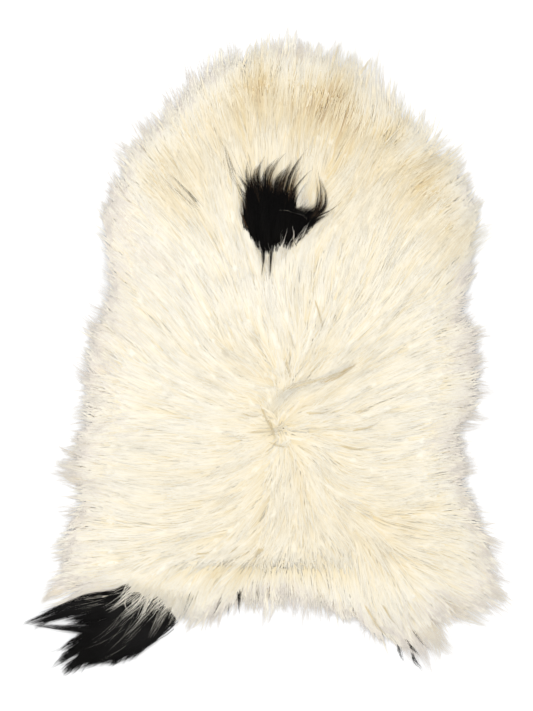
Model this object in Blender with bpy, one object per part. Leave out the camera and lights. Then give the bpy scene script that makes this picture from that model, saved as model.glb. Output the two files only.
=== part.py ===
"""A long-haired sheepskin rug, laid flat with the wool side up.

The skin is a thin tanned hide. The fleece on it is a lumpy slab of combed wool that falls away
from a whorl on the back, with tapered locks round its rim that droop to the floor. One hind leg
ends in a tuft of dark locks. Metres, +Z up, the footprint centred on the origin, the neck at +Y.
"""

import math
import random
from collections import namedtuple

import bmesh
import bpy
from mathutils import Matrix, Vector, noise

# Driving dimensions
WHORL = Vector((0.0129, -0.1294))  # where the wool parts; every bearing and reach starts here
HIDE_THICKNESS = 0.0020
CLEARANCE = 0.0003  # between the hide and what lies on it
UNDERSIDE = HIDE_THICKNESS + CLEARANCE  # the flat underside of the wool
BODY_HEIGHT = 0.047  # loft of the combed wool at the middle of the back
RIM_HEIGHT_SHARE = 0.80  # of that loft, what is left towards the rim
LUMP_HEIGHT = 0.0075  # how far lumps of wool stand above or below the even slab
LUMP_TURN = 6.5  # lumps in a radian round the whorl
LUMP_LENGTH = 0.105  # along the lie of the wool
LUMP_START = 0.14  # reach at which the lumps have their full height
FINER_LUMPS = 2.2  # how many small lumps lie in one large one
FINER_SHARE = 0.5  # of the large lumps' height
PARTING_DEPTH = 0.007  # the dip where the wool parts at the whorl
PARTING_RADIUS = 0.035
SHELF_LINE = -0.336  # across the rump: the wool in front overhangs a lower band behind this line
SHELF_HALF_WIDTH = 0.165
SHELF_DROP = 0.30  # the share of the loft that is lost behind the line
SHELF_EDGE = 0.016  # how far the drop is spread to each side of the line
SHELF_ENDS = 0.040  # how far it is spread at the shelf's two ends

COLUMNS = 108  # of the slab's faces round the whorl
RINGS = 18  # from the whorl to the rim
HIDE_CORNERS = 90

LOCK_SPACING = 0.0235  # along the rim
LOCK_POINTS = 5
LOCK_ROOT_DEPTH = 0.022  # how far a lock starts inside the rim
LOCK_ROOT_RADIUS = 0.0165
LOCK_TIP_RADIUS = 0.0016
LOCK_TAPER = 0.72  # below 1 keeps a lock full for most of its length
LOCK_FLATNESS = 0.50  # a lock's thickness over its width
LOCK_ROOT_HEIGHT = 0.0150
LOCK_DROOP = (0.15, 0.72)  # the shares of its length between which a lock comes down
LOCK_WAVE = 0.0055  # how far a lock bows to one side
LOCK_REST = 0.0012  # the highest that a lock's outer end lies over the floor
LOCK_TURN = 7.0  # degrees to each side of the wool's lie
RIM_SEED = 11

# The hind leg's dark tuft
TUFT_CENTRE = Vector((-0.2341, -0.4374))
TUFT_HEADING = 200.0  # degrees, from its root towards its tips
TUFT_HALF_LENGTH = 0.080
TUFT_HALF_WIDTH = 0.043
TUFT_HEIGHT = 0.0230
TUFT_GAP = 0.0010  # between the tuft and the fleece that is parted round it
TUFT_SEGMENTS = 32
TUFT_RINGS = 8
TUFT_LOCK_SIZE = 0.85  # of a rim lock's radius
TUFT_SEED = 5

# The cut of the skin and the reach of its wool, by bearing from the whorl in degrees, +X being 0.
# hide and wool are the reach of the hide and of the slab; lock is how far the locks go past it;
# brow is how far inside the rim the slab starts to fall; lean turns the locks from the bearing.
Section = namedtuple("Section", "bearing hide wool lock brow lean")
SECTIONS = (
    Section(0, 0.264, 0.288, 0.024, 0.050, 6),
    Section(12, 0.290, 0.318, 0.030, 0.050, 8),
    Section(24, 0.308, 0.338, 0.032, 0.050, 8),
    Section(35, 0.315, 0.348, 0.034, 0.052, 8),
    Section(43, 0.368, 0.410, 0.046, 0.060, 2),
    Section(52, 0.440, 0.485, 0.054, 0.075, 2),
    Section(62, 0.455, 0.500, 0.054, 0.085, 6),
    Section(72, 0.490, 0.548, 0.054, 0.090, 4),
    Section(82, 0.520, 0.584, 0.054, 0.095, 0),
    Section(94, 0.520, 0.590, 0.054, 0.095, 0),
    Section(105, 0.472, 0.534, 0.052, 0.090, -2),
    Section(117, 0.430, 0.478, 0.054, 0.080, -4),
    Section(128, 0.372, 0.412, 0.046, 0.070, -4),
    Section(138, 0.298, 0.330, 0.032, 0.052, -4),
    Section(150, 0.286, 0.316, 0.028, 0.050, -6),
    Section(165, 0.268, 0.296, 0.026, 0.048, -4),
    Section(180, 0.262, 0.290, 0.030, 0.048, -8),
    Section(190, 0.276, 0.308, 0.046, 0.052, -14),
    Section(202, 0.276, 0.310, 0.044, 0.054, -20),
    Section(212, 0.338, 0.376, 0.056, 0.080, -18),
    Section(219, 0.352, 0.388, 0.048, 0.085, -14),
    Section(230, 0.425, 0.372, 0.040, 0.085, -14),
    Section(239, 0.352, 0.346, 0.020, 0.075, 0),
    Section(247, 0.258, 0.302, 0.040, 0.065, 0),
    Section(258, 0.228, 0.262, 0.038, 0.052, 0),
    Section(270, 0.214, 0.246, 0.038, 0.052, 0),
    Section(283, 0.224, 0.258, 0.042, 0.054, 0),
    Section(294, 0.266, 0.300, 0.056, 0.068, 0),
    Section(303, 0.334, 0.378, 0.080, 0.092, 0),
    Section(312, 0.336, 0.382, 0.062, 0.088, 6),
    Section(322, 0.358, 0.406, 0.080, 0.088, 8),
    Section(331, 0.322, 0.362, 0.056, 0.070, 16),
    Section(342, 0.278, 0.308, 0.028, 0.052, 14),
)

# Which bearings the dark tuft takes from the fleece's own rim locks
TUFT_BEARINGS = (221.5, 244.0)

# The dark tuft's locks: where each starts, as shares of the tuft's half length and half width
DarkLock = namedtuple("DarkLock", "start side heading length")
DARK_LOCKS = (
    DarkLock(0.05, 0.62, 194.0, 0.158),
    DarkLock(0.30, 0.50, 197.0, 0.118),
    DarkLock(0.52, 0.36, 201.0, 0.100),
    DarkLock(0.66, 0.20, 205.0, 0.098),
    DarkLock(0.70, 0.00, 212.0, 0.084),
    DarkLock(0.66, -0.20, 218.0, 0.078),
    DarkLock(0.54, -0.38, 224.0, 0.070),
    DarkLock(0.36, -0.50, 230.0, 0.062),
    DarkLock(0.14, -0.56, 236.0, 0.056),
    DarkLock(-0.08, -0.56, 240.0, 0.052),
    DarkLock(-0.30, -0.52, 242.0, 0.046),
    DarkLock(-0.52, -0.42, 244.0, 0.038),
)


def clear_scene():
    for old in list(bpy.data.objects):
        bpy.data.objects.remove(old)


def collection_named(name):
    made = bpy.data.collections.new(name)
    bpy.context.scene.collection.children.link(made)
    return made


def material(name, colour, roughness):
    made = bpy.data.materials.new(name)
    made.use_nodes = True
    shader = made.node_tree.nodes["Principled BSDF"]
    shader.inputs["Base Color"].default_value = (*colour, 1.0)
    shader.inputs["Roughness"].default_value = roughness
    shader.inputs["Metallic"].default_value = 0.0
    made.diffuse_color = (*colour, 1.0)
    return made


def smooth_step(low, high, value):
    share = min(max((value - low) / (high - low), 0.0), 1.0)
    return share * share * (3.0 - 2.0 * share)


def around(bearing, column):
    """A column of the sections at any bearing, on a smooth curve through the rows."""
    count = len(SECTIONS)
    bearing = bearing % 360.0
    at = max(i for i in range(count) if SECTIONS[i].bearing <= bearing)
    here, after = SECTIONS[at].bearing, SECTIONS[(at + 1) % count].bearing
    share = (bearing - here) / ((after - here) % 360.0)
    before, first, second, last = (
        getattr(SECTIONS[(at + step) % count], column) for step in (-1, 0, 1, 2)
    )
    slope_in, slope_out = (second - before) / 2.0, (last - first) / 2.0
    square, cube = share**2, share**3
    return (
        (2 * cube - 3 * square + 1) * first
        + (cube - 2 * square + share) * slope_in
        + (3 * square - 2 * cube) * second
        + (cube - square) * slope_out
    )


def from_whorl(bearing, reach):
    """The point on plan at this bearing and reach."""
    turn = math.radians(bearing)
    return WHORL + reach * Vector((math.cos(turn), math.sin(turn)))


def wool_height(bearing, reach):
    """How high the slab's top stands at this bearing and reach."""
    place, rim = from_whorl(bearing, reach), around(bearing, "wool")
    turn = math.radians(bearing)
    round_whorl = LUMP_TURN * Vector((math.cos(turn), math.sin(turn)))
    lump = noise.noise(Vector((*round_whorl, reach / LUMP_LENGTH)))
    small_lump = noise.noise(FINER_LUMPS * Vector((*round_whorl, reach / LUMP_LENGTH)))
    loft = BODY_HEIGHT * (1.0 - (1.0 - RIM_HEIGHT_SHARE) * (reach / rim) ** 2)
    loft += LUMP_HEIGHT * (lump + FINER_SHARE * small_lump) * smooth_step(0.0, LUMP_START, reach)
    loft -= PARTING_DEPTH * (1.0 - smooth_step(0.0, PARTING_RADIUS, reach))
    behind = smooth_step(SHELF_LINE + SHELF_EDGE, SHELF_LINE - SHELF_EDGE, place.y)
    within = 1.0 - smooth_step(SHELF_HALF_WIDTH - SHELF_ENDS, SHELF_HALF_WIDTH, abs(place.x))
    loft *= 1.0 - SHELF_DROP * behind * within
    inset = min(max(rim - reach, 0.0) / around(bearing, "brow"), 1.0)
    return UNDERSIDE + loft * math.sqrt(1.0 - (1.0 - inset) ** 2)


def half_globe(segments, rings):
    """The upper half of a unit sphere and each point's bearing and share of the way to its rim."""
    shape = bmesh.new()
    bmesh.ops.create_uvsphere(shape, u_segments=segments, v_segments=2 * rings, radius=1.0)
    lower = [point for point in shape.verts if point.co.z < -0.001]
    bmesh.ops.delete(shape, geom=lower, context="VERTS")
    places = []
    for point in shape.verts:
        bearing = math.degrees(math.atan2(point.co.y, point.co.x))
        share = math.acos(min(point.co.z, 1.0)) / (math.pi / 2.0)
        places.append((point, bearing, min(share, 1.0)))
    return shape, places


def close_underside(shape):
    rim = [edge for edge in shape.edges if edge.is_boundary]
    bmesh.ops.edgeloop_fill(shape, edges=rim)
    bmesh.ops.recalc_face_normals(shape, faces=shape.faces)


def object_from(shape, name, collection, finish=None):
    mesh = bpy.data.meshes.new(name)
    shape.to_mesh(mesh)
    shape.free()
    made = bpy.data.objects.new(name, mesh)
    collection.objects.link(made)
    if finish is not None:
        mesh.materials.append(finish)
    return made


def make_slab(collection, finish):
    """The lumpy slab of wool, with its flat underside just clear of the hide."""
    shape, places = half_globe(COLUMNS, RINGS)
    for point, bearing, share in places:
        rim = around(bearing, "wool")
        reach = rim * (0.5 * share + 0.5 * math.sin(share * math.pi / 2.0))
        plan = from_whorl(bearing, reach)
        point.co = (plan.x, plan.y, wool_height(bearing, reach))
    close_underside(shape)
    return object_from(shape, "fleece", collection, finish)


def put_at_tuft(mesh):
    """Turns and moves what was made at the origin, along +X, to where the dark tuft lies."""
    mesh.transform(Matrix.Rotation(math.radians(TUFT_HEADING), 4, "Z"))
    mesh.transform(Matrix.Translation((*TUFT_CENTRE, 0.0)))


def make_tuft_pad(collection, finish):
    """The low dome of dark wool that the leg's dark locks grow from."""
    shape, places = half_globe(TUFT_SEGMENTS, TUFT_RINGS)
    for point, bearing, share in places:
        across = math.sin(share * math.pi / 2.0)
        turn = math.radians(bearing)
        point.co = (
            TUFT_HALF_LENGTH * across * math.cos(turn),
            TUFT_HALF_WIDTH * across * math.sin(turn),
            UNDERSIDE + TUFT_HEIGHT * math.cos(share * math.pi / 2.0),
        )
    close_underside(shape)
    pad = object_from(shape, "dark_leg_locks", collection, finish)
    put_at_tuft(pad.data)
    return pad


def part_round_tuft(slab):
    """Cuts room for the dark tuft out of the slab."""
    shape, tall = bmesh.new(), 4.0 * BODY_HEIGHT
    bmesh.ops.create_cone(
        shape, cap_ends=True, segments=2 * TUFT_SEGMENTS, radius1=1.0, radius2=1.0, depth=tall
    )
    room = object_from(shape, "room_for_tuft", bpy.context.scene.collection)
    half_length, half_width = TUFT_HALF_LENGTH + TUFT_GAP, TUFT_HALF_WIDTH + TUFT_GAP
    room.data.transform(Matrix.Diagonal((half_length, half_width, 1.0, 1.0)))
    put_at_tuft(room.data)
    room.hide_render = True
    room.display_type = "WIRE"
    cut = slab.modifiers.new("room for the tuft", "BOOLEAN")
    cut.operation = "DIFFERENCE"
    cut.solver = "EXACT"
    cut.object = room


def mesh_of_curve(curve_object, collection):
    """The curve's closed mesh, with its caps welded on, in place of the curve."""
    bpy.context.view_layer.update()
    graph = bpy.context.evaluated_depsgraph_get()
    mesh = bpy.data.meshes.new_from_object(curve_object.evaluated_get(graph))
    shape = bmesh.new()
    shape.from_mesh(mesh)
    bmesh.ops.remove_doubles(shape, verts=shape.verts, dist=0.00001)
    bmesh.ops.recalc_face_normals(shape, faces=shape.faces)
    shape.to_mesh(mesh)
    shape.free()
    name, placed = curve_object.name, curve_object.matrix_world.copy()
    bpy.data.objects.remove(curve_object)
    made = bpy.data.objects.new(name, mesh)
    made.matrix_world = placed
    collection.objects.link(made)
    return made


def make_lock(collection, name, root, heading, length, size, wave, rest):
    """One four-sided lock: it leaves its root, droops, and its outer end lies level on the floor."""
    turn = math.radians(heading)
    forward = Vector((math.cos(turn), math.sin(turn)))
    sideways = Vector((-math.sin(turn), math.cos(turn)))
    thicker = LOCK_ROOT_RADIUS * size - LOCK_TIP_RADIUS
    curve = bpy.data.curves.new(name, "CURVE")
    curve.dimensions = "3D"
    curve.bevel_depth = 1.0
    curve.bevel_resolution = 0
    curve.use_fill_caps = True
    spline = curve.splines.new("POLY")
    spline.points.add(LOCK_POINTS - 1)
    for step, point in enumerate(spline.points):
        share = step / (LOCK_POINTS - 1)
        radius = LOCK_TIP_RADIUS + thicker * (1.0 - share) ** LOCK_TAPER
        plan = root + forward * length * share + sideways * wave * math.sin(share * math.pi)
        lowest = rest + radius * LOCK_FLATNESS
        height = max(lowest, LOCK_ROOT_HEIGHT * (1.0 - smooth_step(*LOCK_DROOP, share)))
        point.co = (plan.x, plan.y, height / LOCK_FLATNESS, 1.0)
        point.radius = radius
    lock = bpy.data.objects.new(name, curve)
    collection.objects.link(lock)
    lock = mesh_of_curve(lock, collection)
    lock.data.transform(Matrix.Diagonal((1.0, 1.0, LOCK_FLATNESS, 1.0)))
    lock.hide_render = True
    lock.display_type = "WIRE"
    return lock


def rim_bearings(spacing):
    """Bearings that stand this far apart along the slab's rim."""
    fine = 1440
    walked, found = spacing, []
    for step in range(fine):
        bearing = 360.0 * step / fine
        here = from_whorl(bearing, around(bearing, "wool"))
        after = from_whorl(bearing + 360.0 / fine, around(bearing + 360.0 / fine, "wool"))
        walked += (after - here).length
        if walked >= spacing:
            walked -= spacing
            found.append(bearing)
    return found


def make_rim_locks(collection):
    rng = random.Random(RIM_SEED)
    for number, bearing in enumerate(rim_bearings(LOCK_SPACING)):
        jitter = rng.uniform(-1.2, 1.2)
        growth = rng.uniform(0.72, 1.06)
        size = rng.uniform(0.78, 1.1)
        wave = rng.uniform(-LOCK_WAVE, LOCK_WAVE)
        rest = rng.uniform(0.0, LOCK_REST)
        turned = rng.uniform(-LOCK_TURN, LOCK_TURN)
        if TUFT_BEARINGS[0] < bearing < TUFT_BEARINGS[1]:
            continue
        bearing += jitter
        reach = around(bearing, "wool") - LOCK_ROOT_DEPTH
        length = LOCK_ROOT_DEPTH + around(bearing, "lock") * growth
        heading = bearing + around(bearing, "lean") + turned
        name = f"rim_lock_{number:03d}"
        make_lock(collection, name, from_whorl(bearing, reach), heading, length, size, wave, rest)


def make_dark_locks(collection):
    rng = random.Random(TUFT_SEED)
    turn = math.radians(TUFT_HEADING)
    along = Vector((math.cos(turn), math.sin(turn))) * TUFT_HALF_LENGTH
    across = Vector((math.sin(turn), -math.cos(turn))) * TUFT_HALF_WIDTH
    for number, row in enumerate(DARK_LOCKS):
        root = TUFT_CENTRE + along * row.start + across * row.side
        wave = rng.uniform(-LOCK_WAVE, LOCK_WAVE)
        rest = rng.uniform(0.0, LOCK_REST)
        name = f"dark_lock_{number:02d}"
        make_lock(collection, name, root, row.heading, row.length, TUFT_LOCK_SIZE, wave, rest)


def join_locks(body, locks):
    """The locks' roots are fused into the body that they grow from."""
    union = body.modifiers.new("locks", "BOOLEAN")
    union.operation = "UNION"
    union.solver = "EXACT"
    union.operand_type = "COLLECTION"
    union.collection = locks


def make_hide(collection, finish):
    """The tanned skin: a flat cut outline, two millimetres thick, lying on the floor."""
    curve = bpy.data.curves.new("hide", "CURVE")
    curve.dimensions = "2D"
    curve.fill_mode = "BOTH"
    curve.extrude = HIDE_THICKNESS / 2.0
    spline = curve.splines.new("POLY")
    spline.points.add(HIDE_CORNERS - 1)
    spline.use_cyclic_u = True
    for step, point in enumerate(spline.points):
        bearing = 360.0 * step / HIDE_CORNERS
        plan = from_whorl(bearing, around(bearing, "hide"))
        point.co = (plan.x, plan.y, 0.0, 1.0)
    curve.materials.append(finish)
    hide = bpy.data.objects.new("hide", curve)
    hide.location.z = HIDE_THICKNESS / 2.0
    collection.objects.link(hide)
    return hide


def main():
    clear_scene()
    rug = collection_named("sheepskin_rug")
    rim_locks, dark_locks = collection_named("rim_locks"), collection_named("dark_locks")
    cream = material("cream_wool", (0.88, 0.80, 0.64), 0.75)
    black = material("black_wool", (0.012, 0.011, 0.010), 0.60)
    leather = material("tanned_hide", (0.72, 0.60, 0.44), 0.70)
    make_hide(rug, leather)
    fleece = make_slab(rug, cream)
    part_round_tuft(fleece)
    make_rim_locks(rim_locks)
    join_locks(fleece, rim_locks)
    tuft = make_tuft_pad(rug, black)
    make_dark_locks(dark_locks)
    join_locks(tuft, dark_locks)


main()
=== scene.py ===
import math
import random

import bpy
import numpy as np
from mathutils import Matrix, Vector, noise
from mathutils.bvhtree import BVHTree


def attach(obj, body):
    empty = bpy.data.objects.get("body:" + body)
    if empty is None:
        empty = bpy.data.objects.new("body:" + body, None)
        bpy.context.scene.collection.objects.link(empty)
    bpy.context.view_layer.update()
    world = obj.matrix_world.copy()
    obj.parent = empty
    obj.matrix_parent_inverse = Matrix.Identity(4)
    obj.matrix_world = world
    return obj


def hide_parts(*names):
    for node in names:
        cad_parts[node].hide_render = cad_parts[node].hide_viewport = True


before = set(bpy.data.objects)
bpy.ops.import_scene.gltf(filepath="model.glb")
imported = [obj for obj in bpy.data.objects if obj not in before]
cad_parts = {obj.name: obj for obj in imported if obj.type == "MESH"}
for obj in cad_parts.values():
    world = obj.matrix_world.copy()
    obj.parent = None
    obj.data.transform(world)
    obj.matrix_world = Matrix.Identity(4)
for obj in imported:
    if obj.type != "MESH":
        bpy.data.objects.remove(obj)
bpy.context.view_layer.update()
print("frame loaded")

# one pixel of the photograph is 1.6 mm on the floor, and zeroX, zeroY is the rug's own zero in it
photo = {
    "width": 533,
    "height": 711,
    "metresPerPixel": 0.0016,
    "zeroX": 265.2,
    "zeroY": 352.1,
}

# How the wool lies: centimetres across, centimetres along, and the heading in degrees from +X.
combChart = {
    "neck": [
        (-23, 19, 135), (-25, 13, 140), (-16, 24, 135), (-10, 31, 120), (-7, 37, 105), (-5, 44, 95),
        (2, 47, 80), (6, 50, 85), (10, 47, 75), (16, 48, 65), (20, 40, 100), (26, 36, 105),
        (22, 30, 30), (26, 28, 30), (28, 24, 35), (22, 23, 55), (15, 24, 70), (12, 22, 40),
        (9, 18, 50), (14, 16, 75), (6, 15, 80), (2, 10, 90), (-4, 15, 110), (-5, 22, 100),
        (-2, 26, 100), (-10, 20, 125), (3, 30, 85), (12, 34, 70),
    ],
    "shoulders": [
        (-14, 15, 135), (-18, 16, 140), (-20, 10, 145), (-15, 8, 135), (-9, 10, 115), (10, 10, 85),
        (17, 13, 65), (22, 15, 55), (28, 18, 40), (31, 15, 45), (28, 10, 45), (21, 8, 55),
    ],
    "back": [
        (15, 4, 50), (9, 2, 65), (4, 2, 115), (-1, 2, 105), (-7, 4, 115), (-14, 4, 130),
        (-20, 2, 145), (-25, 2, 150), (28, 4, 20), (22, 2, 30), (-23, -2, 140), (-14, -2, 130),
        (-4, -1, 135), (3, -2, 90), (7, -2, 50), (14, -3, 35), (22, -4, 25), (28, -3, 10),
        (-23, -5, 165), (-14, -5, 150), (-6, -5, 150), (1, -5, 175), (6, -5, 35), (12, -5, 30),
        (18, -6, 20), (26, -7, 5), (-25, -8, 170), (-17, -8, 165), (-9, -8, 160), (4, -8, 40),
        (10, -8, 25), (15, -9, 25), (25, -9, 10), (-14, -10, 170), (-4, -11, 170),
    ],
    "whorl": [
        (-23, -12, 180), (-10, -12, 170), (-1, -12, 175), (6, -12, 15), (14, -12, 15), (25, -12, 10),
        (-18, -14, 180), (-6, -14, 180), (6, -14, 350), (15, -14, 0), (-10, -19, 180), (-4, -17, 205),
        (-1, -16, 215), (4, -18, 265), (6, -18, 275), (9, -18, 310), (13, -19, 0), (17, -19, 15),
        (25, -19, 15), (-3, -20, 215), (0, -20, 225), (4, -20, 255), (6, -20, 280), (9, -20, 320),
        (12, -22, 355), (17, -21, 10), (26, -21, 5),
    ],
    "rump": [
        (-20, -21, 170), (-12, -22, 180), (-20, -24, 160), (-14, -24, 180), (-6, -24, 195),
        (-1, -24, 235), (4, -24, 260), (6, -24, 290), (10, -24, 315), (14, -27, 320), (20, -25, 20),
        (26, -26, 5), (1, -28, 225), (4, -29, 245), (6, -30, 270), (10, -29, 305), (13, -31, 280),
        (16, -29, 290), (19, -31, 305), (-9, -31, 210), (-4, -31, 210), (-14, -31, 190),
        (-23, -31, 180), (22, -31, 355), (28, -31, 345), (30, -32, 335), (33, -33, 320),
        (-12, -38, 255), (-10, -40, 240), (-6, -40, 245), (0, -38, 270), (10, -38, 280),
    ],
    "rightLeg": [
        (16, -36, 275), (18, -38, 280), (20, -38, 280), (22, -38, 310), (26, -38, 315), (30, -37, 340),
        (34, -38, 330), (38, -40, 335), (19, -43, 305), (22, -46, 300), (25, -48, 300),
        (28, -46, 295), (26, -42, 300), (30, -43, 340), (34, -42, 345),
    ],
    "leftLeg": [
        (-22, -36, 185), (-26, -36, 190), (-18, -36, 215), (-16, -36, 230), (-33, -38, 200),
        (-28, -38, 190), (-36, -41, 205),
    ],
    "crown": [
        (-3.0, 24.5, 98), (-3, 22, 95), (-1.8, 26, 96), (-0.5, 26.5, 88), (1, 26.5, 80),
        (2.5, 26.5, 72), (3.8, 26, 68), (5.5, 29, 58), (0, 29, 72), (3, 29, 62), (5, 30.5, 58),
        (7.5, 22.5, 35), (9, 24, 70), (9, 26, 97), (8.5, 28.5, 105), (0.5, 17, 92), (3, 18, 82),
        (5.5, 19.5, 45), (-1.5, 18.5, 100), (1.5, 22, 85), (4.0, 22.8, 80), (5.9, 20.8, 12),
        (-4.5, 27, 125), (-3.5, 29, 108), (-1, 31, 80), (2, 32, 65), (1.2, 24.5, 88),
    ],
    "darkTuft": [
        (-22, -38, 200), (-28, -41, 197), (-34, -43.5, 198), (-25, -42, 205), (-17, -41, 215),
        (-30, -46, 212), (-22, -45, 217), (-15, -44, 224), (-20, -48, 222), (-27, -49, 216),
        (-33, -48, 205), (-14, -42, 225), (-36, -46, 200),
    ],
}


def smoothStep(low, high, value):
    share = np.clip((value - low) / (high - low), 0.0, 1.0)
    return share * share * (3.0 - 2.0 * share)


def nearness(points, centre, radius):
    apart = points - np.asarray(centre)
    return np.exp(-(apart ** 2).sum(axis=-1) / radius ** 2)


def fromPixel(across, down):
    side = (across - photo["zeroX"]) * photo["metresPerPixel"]
    along = (photo["zeroY"] - down) * photo["metresPerPixel"]
    return np.array([side, along])


def fromPixels(spots):
    return np.array([fromPixel(*spot) for spot in spots])


def nearPixel(points, across, down, radius):
    return nearness(points, fromPixel(across, down), radius * photo["metresPerPixel"])


def turnsOf(columns):
    return np.arange(columns) * 2 * math.pi / columns


def waysOf(angles):
    return np.column_stack([np.cos(angles), np.sin(angles)])


def unitOf(ways, least=1e-9):
    return ways / (np.linalg.norm(ways, axis=1, keepdims=True) + least)


def insideOf(points, border):
    # even-odd rule, for points and a border that are both in metres
    found = np.zeros(len(points), bool)
    for start, end in zip(border, np.roll(border, -1, axis=0)):
        crosses = (start[1] > points[:, 1]) != (end[1] > points[:, 1])
        rise = (end[1] - start[1]) or 1e-9      # a level edge is never crossed
        meets = start[0] + (points[:, 1] - start[1]) * (end[0] - start[0]) / rise
        found ^= crosses & (points[:, 0] < meets)
    return found


def softened(values, passes, wrapsRound):
    # a small blur along both directions of a grid; its second direction may wrap round
    for step in range(passes):
        padded = np.pad(values, ((1, 1), (0, 0)), mode="edge")
        values = 0.25 * padded[:-2] + 0.5 * values + 0.25 * padded[2:]
        padded = np.pad(values, ((0, 0), (1, 1)), mode="wrap" if wrapsRound else "edge")
        values = 0.25 * padded[:, :-2] + 0.5 * values + 0.25 * padded[:, 2:]
    return values


def placeInScene(name, data, location=(0, 0, 0)):
    thing = bpy.data.objects.new(name, data)
    thing.location = location
    bpy.context.scene.collection.objects.link(thing)
    return thing


def newPiece(name, corners, faces):
    mesh = bpy.data.meshes.new(name)
    mesh.from_pydata(np.asarray(corners).tolist(), [], faces)
    mesh.update()
    mesh.polygons.foreach_set("use_smooth", [True] * len(mesh.polygons))
    return placeInScene(name, mesh)


def writeAttributes(piece, columns):
    for name, values in columns.items():
        vector = np.ndim(values) == 2
        attribute = piece.data.attributes.new(name, "FLOAT_VECTOR" if vector else "FLOAT", "POINT")
        if vector:
            flat = np.zeros((len(values), 3))
            flat[:, :np.shape(values)[1]] = values
            attribute.data.foreach_set("vector", flat.ravel())
        else:
            attribute.data.foreach_set("value", np.asarray(values, float))


comb = {
    "whorl": (0.013, -0.129),      # where the wool parts
    "cell": 0.006,                 # spacing of the worked-out directions
    "halfWidth": 0.48,
    "halfLength": 0.60,
    "sharpness": 0.018,            # how closely the wool follows each stroke
    "crownSharpness": 0.010,
    "outwardFrom": 0.10,           # farther than this from all strokes it lies away from the whorl
}
whorl = np.array(comb["whorl"])


def gridLines(sizes):
    # where the columns and the rows of a grid stand
    halves = (sizes["halfWidth"], sizes["halfLength"])
    return [np.linspace(-half, half, int(2 * half / sizes["cell"]) + 1) for half in halves]


def workOutComb(names, sharpness):
    strokes = np.array([stroke for name in names for stroke in combChart[name]], float)
    places = strokes[:, :2] / 100.0
    ways = waysOf(np.radians(strokes[:, 2]))
    gridX, gridY = np.meshgrid(*gridLines(comb), indexing="ij")
    points = np.stack([gridX, gridY], axis=-1).reshape(-1, 2)
    apart = ((points[:, None, :] - places[None, :, :]) ** 2).sum(axis=-1)
    weights = 1.0 / (apart + sharpness ** 2) ** 2
    summed = (weights[:, :, None] * ways[None, :, :]).sum(axis=1)
    summed += unitOf(points - whorl, 1e-6) * (1.0 / comb["outwardFrom"] ** 4)
    return unitOf(summed).reshape(*gridX.shape, 2)


creamComb = workOutComb([name for name in combChart if name not in ("crown", "darkTuft")],
                        comb["sharpness"])
crownComb = workOutComb(["crown"], comb["crownSharpness"])
tuftComb = workOutComb(["darkTuft"], comb["sharpness"])


def combAt(points, grid):
    columns, rows = grid.shape[:2]
    across = np.clip((points[:, 0] + comb["halfWidth"]) / comb["cell"], 0, columns - 1.001)
    along = np.clip((points[:, 1] + comb["halfLength"]) / comb["cell"], 0, rows - 1.001)
    column = across.astype(int)
    row = along.astype(int)
    right = (across - column)[:, None]
    up = (along - row)[:, None]
    way = grid[column, row] * (1 - right) * (1 - up)
    way = way + grid[column + 1, row] * right * (1 - up)
    way = way + grid[column, row + 1] * (1 - right) * up
    way = way + grid[column + 1, row + 1] * right * up
    return unitOf(way)


def streaks(points, grid, size, reach, steps, seed):
    # noise drawn out along the comb, so that it makes long lumps and not round ones
    total = np.zeros(len(points))
    for sense in (-1, 1):
        here = points.copy()
        for step in range(steps):
            here = here + combAt(here, grid) * sense * reach / steps
            total += [noise.noise(Vector((x / size, y / size, seed))) for x, y in here]
    return total / (2 * steps)


wellAbove = 0.3                # metres, higher than all of the wool


def surfaceOf(piece):
    corners = [vertex.co.copy() for vertex in piece.data.vertices]
    return BVHTree.FromPolygons(corners, [tuple(face.vertices) for face in piece.data.polygons])


def heightOn(trees, x, y):
    # the highest of some surfaces at a place, or the floor
    hits = [tree.ray_cast(Vector((x, y, wellAbove)), Vector((0, 0, -1)))[0] for tree in trees]
    return max(hit.z if hit else 0.0 for hit in hits)


fleeceTop = surfaceOf(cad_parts["fleece"])
tuftTop = surfaceOf(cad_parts["dark_leg_locks"])

outline = {
    "columns": 300,
    "step": 0.003,
    "farthest": 0.70,
    "nearest": 0.05,
    "slabHeight": 0.008,       # the thick part of the fleece starts where it is this high
    "slabSmoothing": 3,
    "tipSmoothing": 2,
}
bearings = turnsOf(outline["columns"])
spokes = waysOf(bearings)


def reachOf(centre, spoke, sizes, meets):
    # how far from the centre something is met, coming in along a spoke
    reach = sizes["farthest"]
    while reach > sizes["nearest"] and not meets(centre + spoke * reach):
        reach -= sizes["step"]
    return reach


def roundTheRim(values, passes):
    for step in range(passes):
        values = 0.25 * np.roll(values, 1) + 0.5 * values + 0.25 * np.roll(values, -1)
    return values


def rimOf(trees, least, smoothing):
    reaches = [reachOf(whorl, spoke, outline, lambda place: heightOn(trees, *place) > least)
               for spoke in spokes]
    return roundTheRim(np.array(reaches), smoothing)


slabReach = rimOf([fleeceTop], outline["slabHeight"], outline["slabSmoothing"])
tipReach = rimOf([fleeceTop, tuftTop], 0.0, outline["tipSmoothing"])

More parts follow.
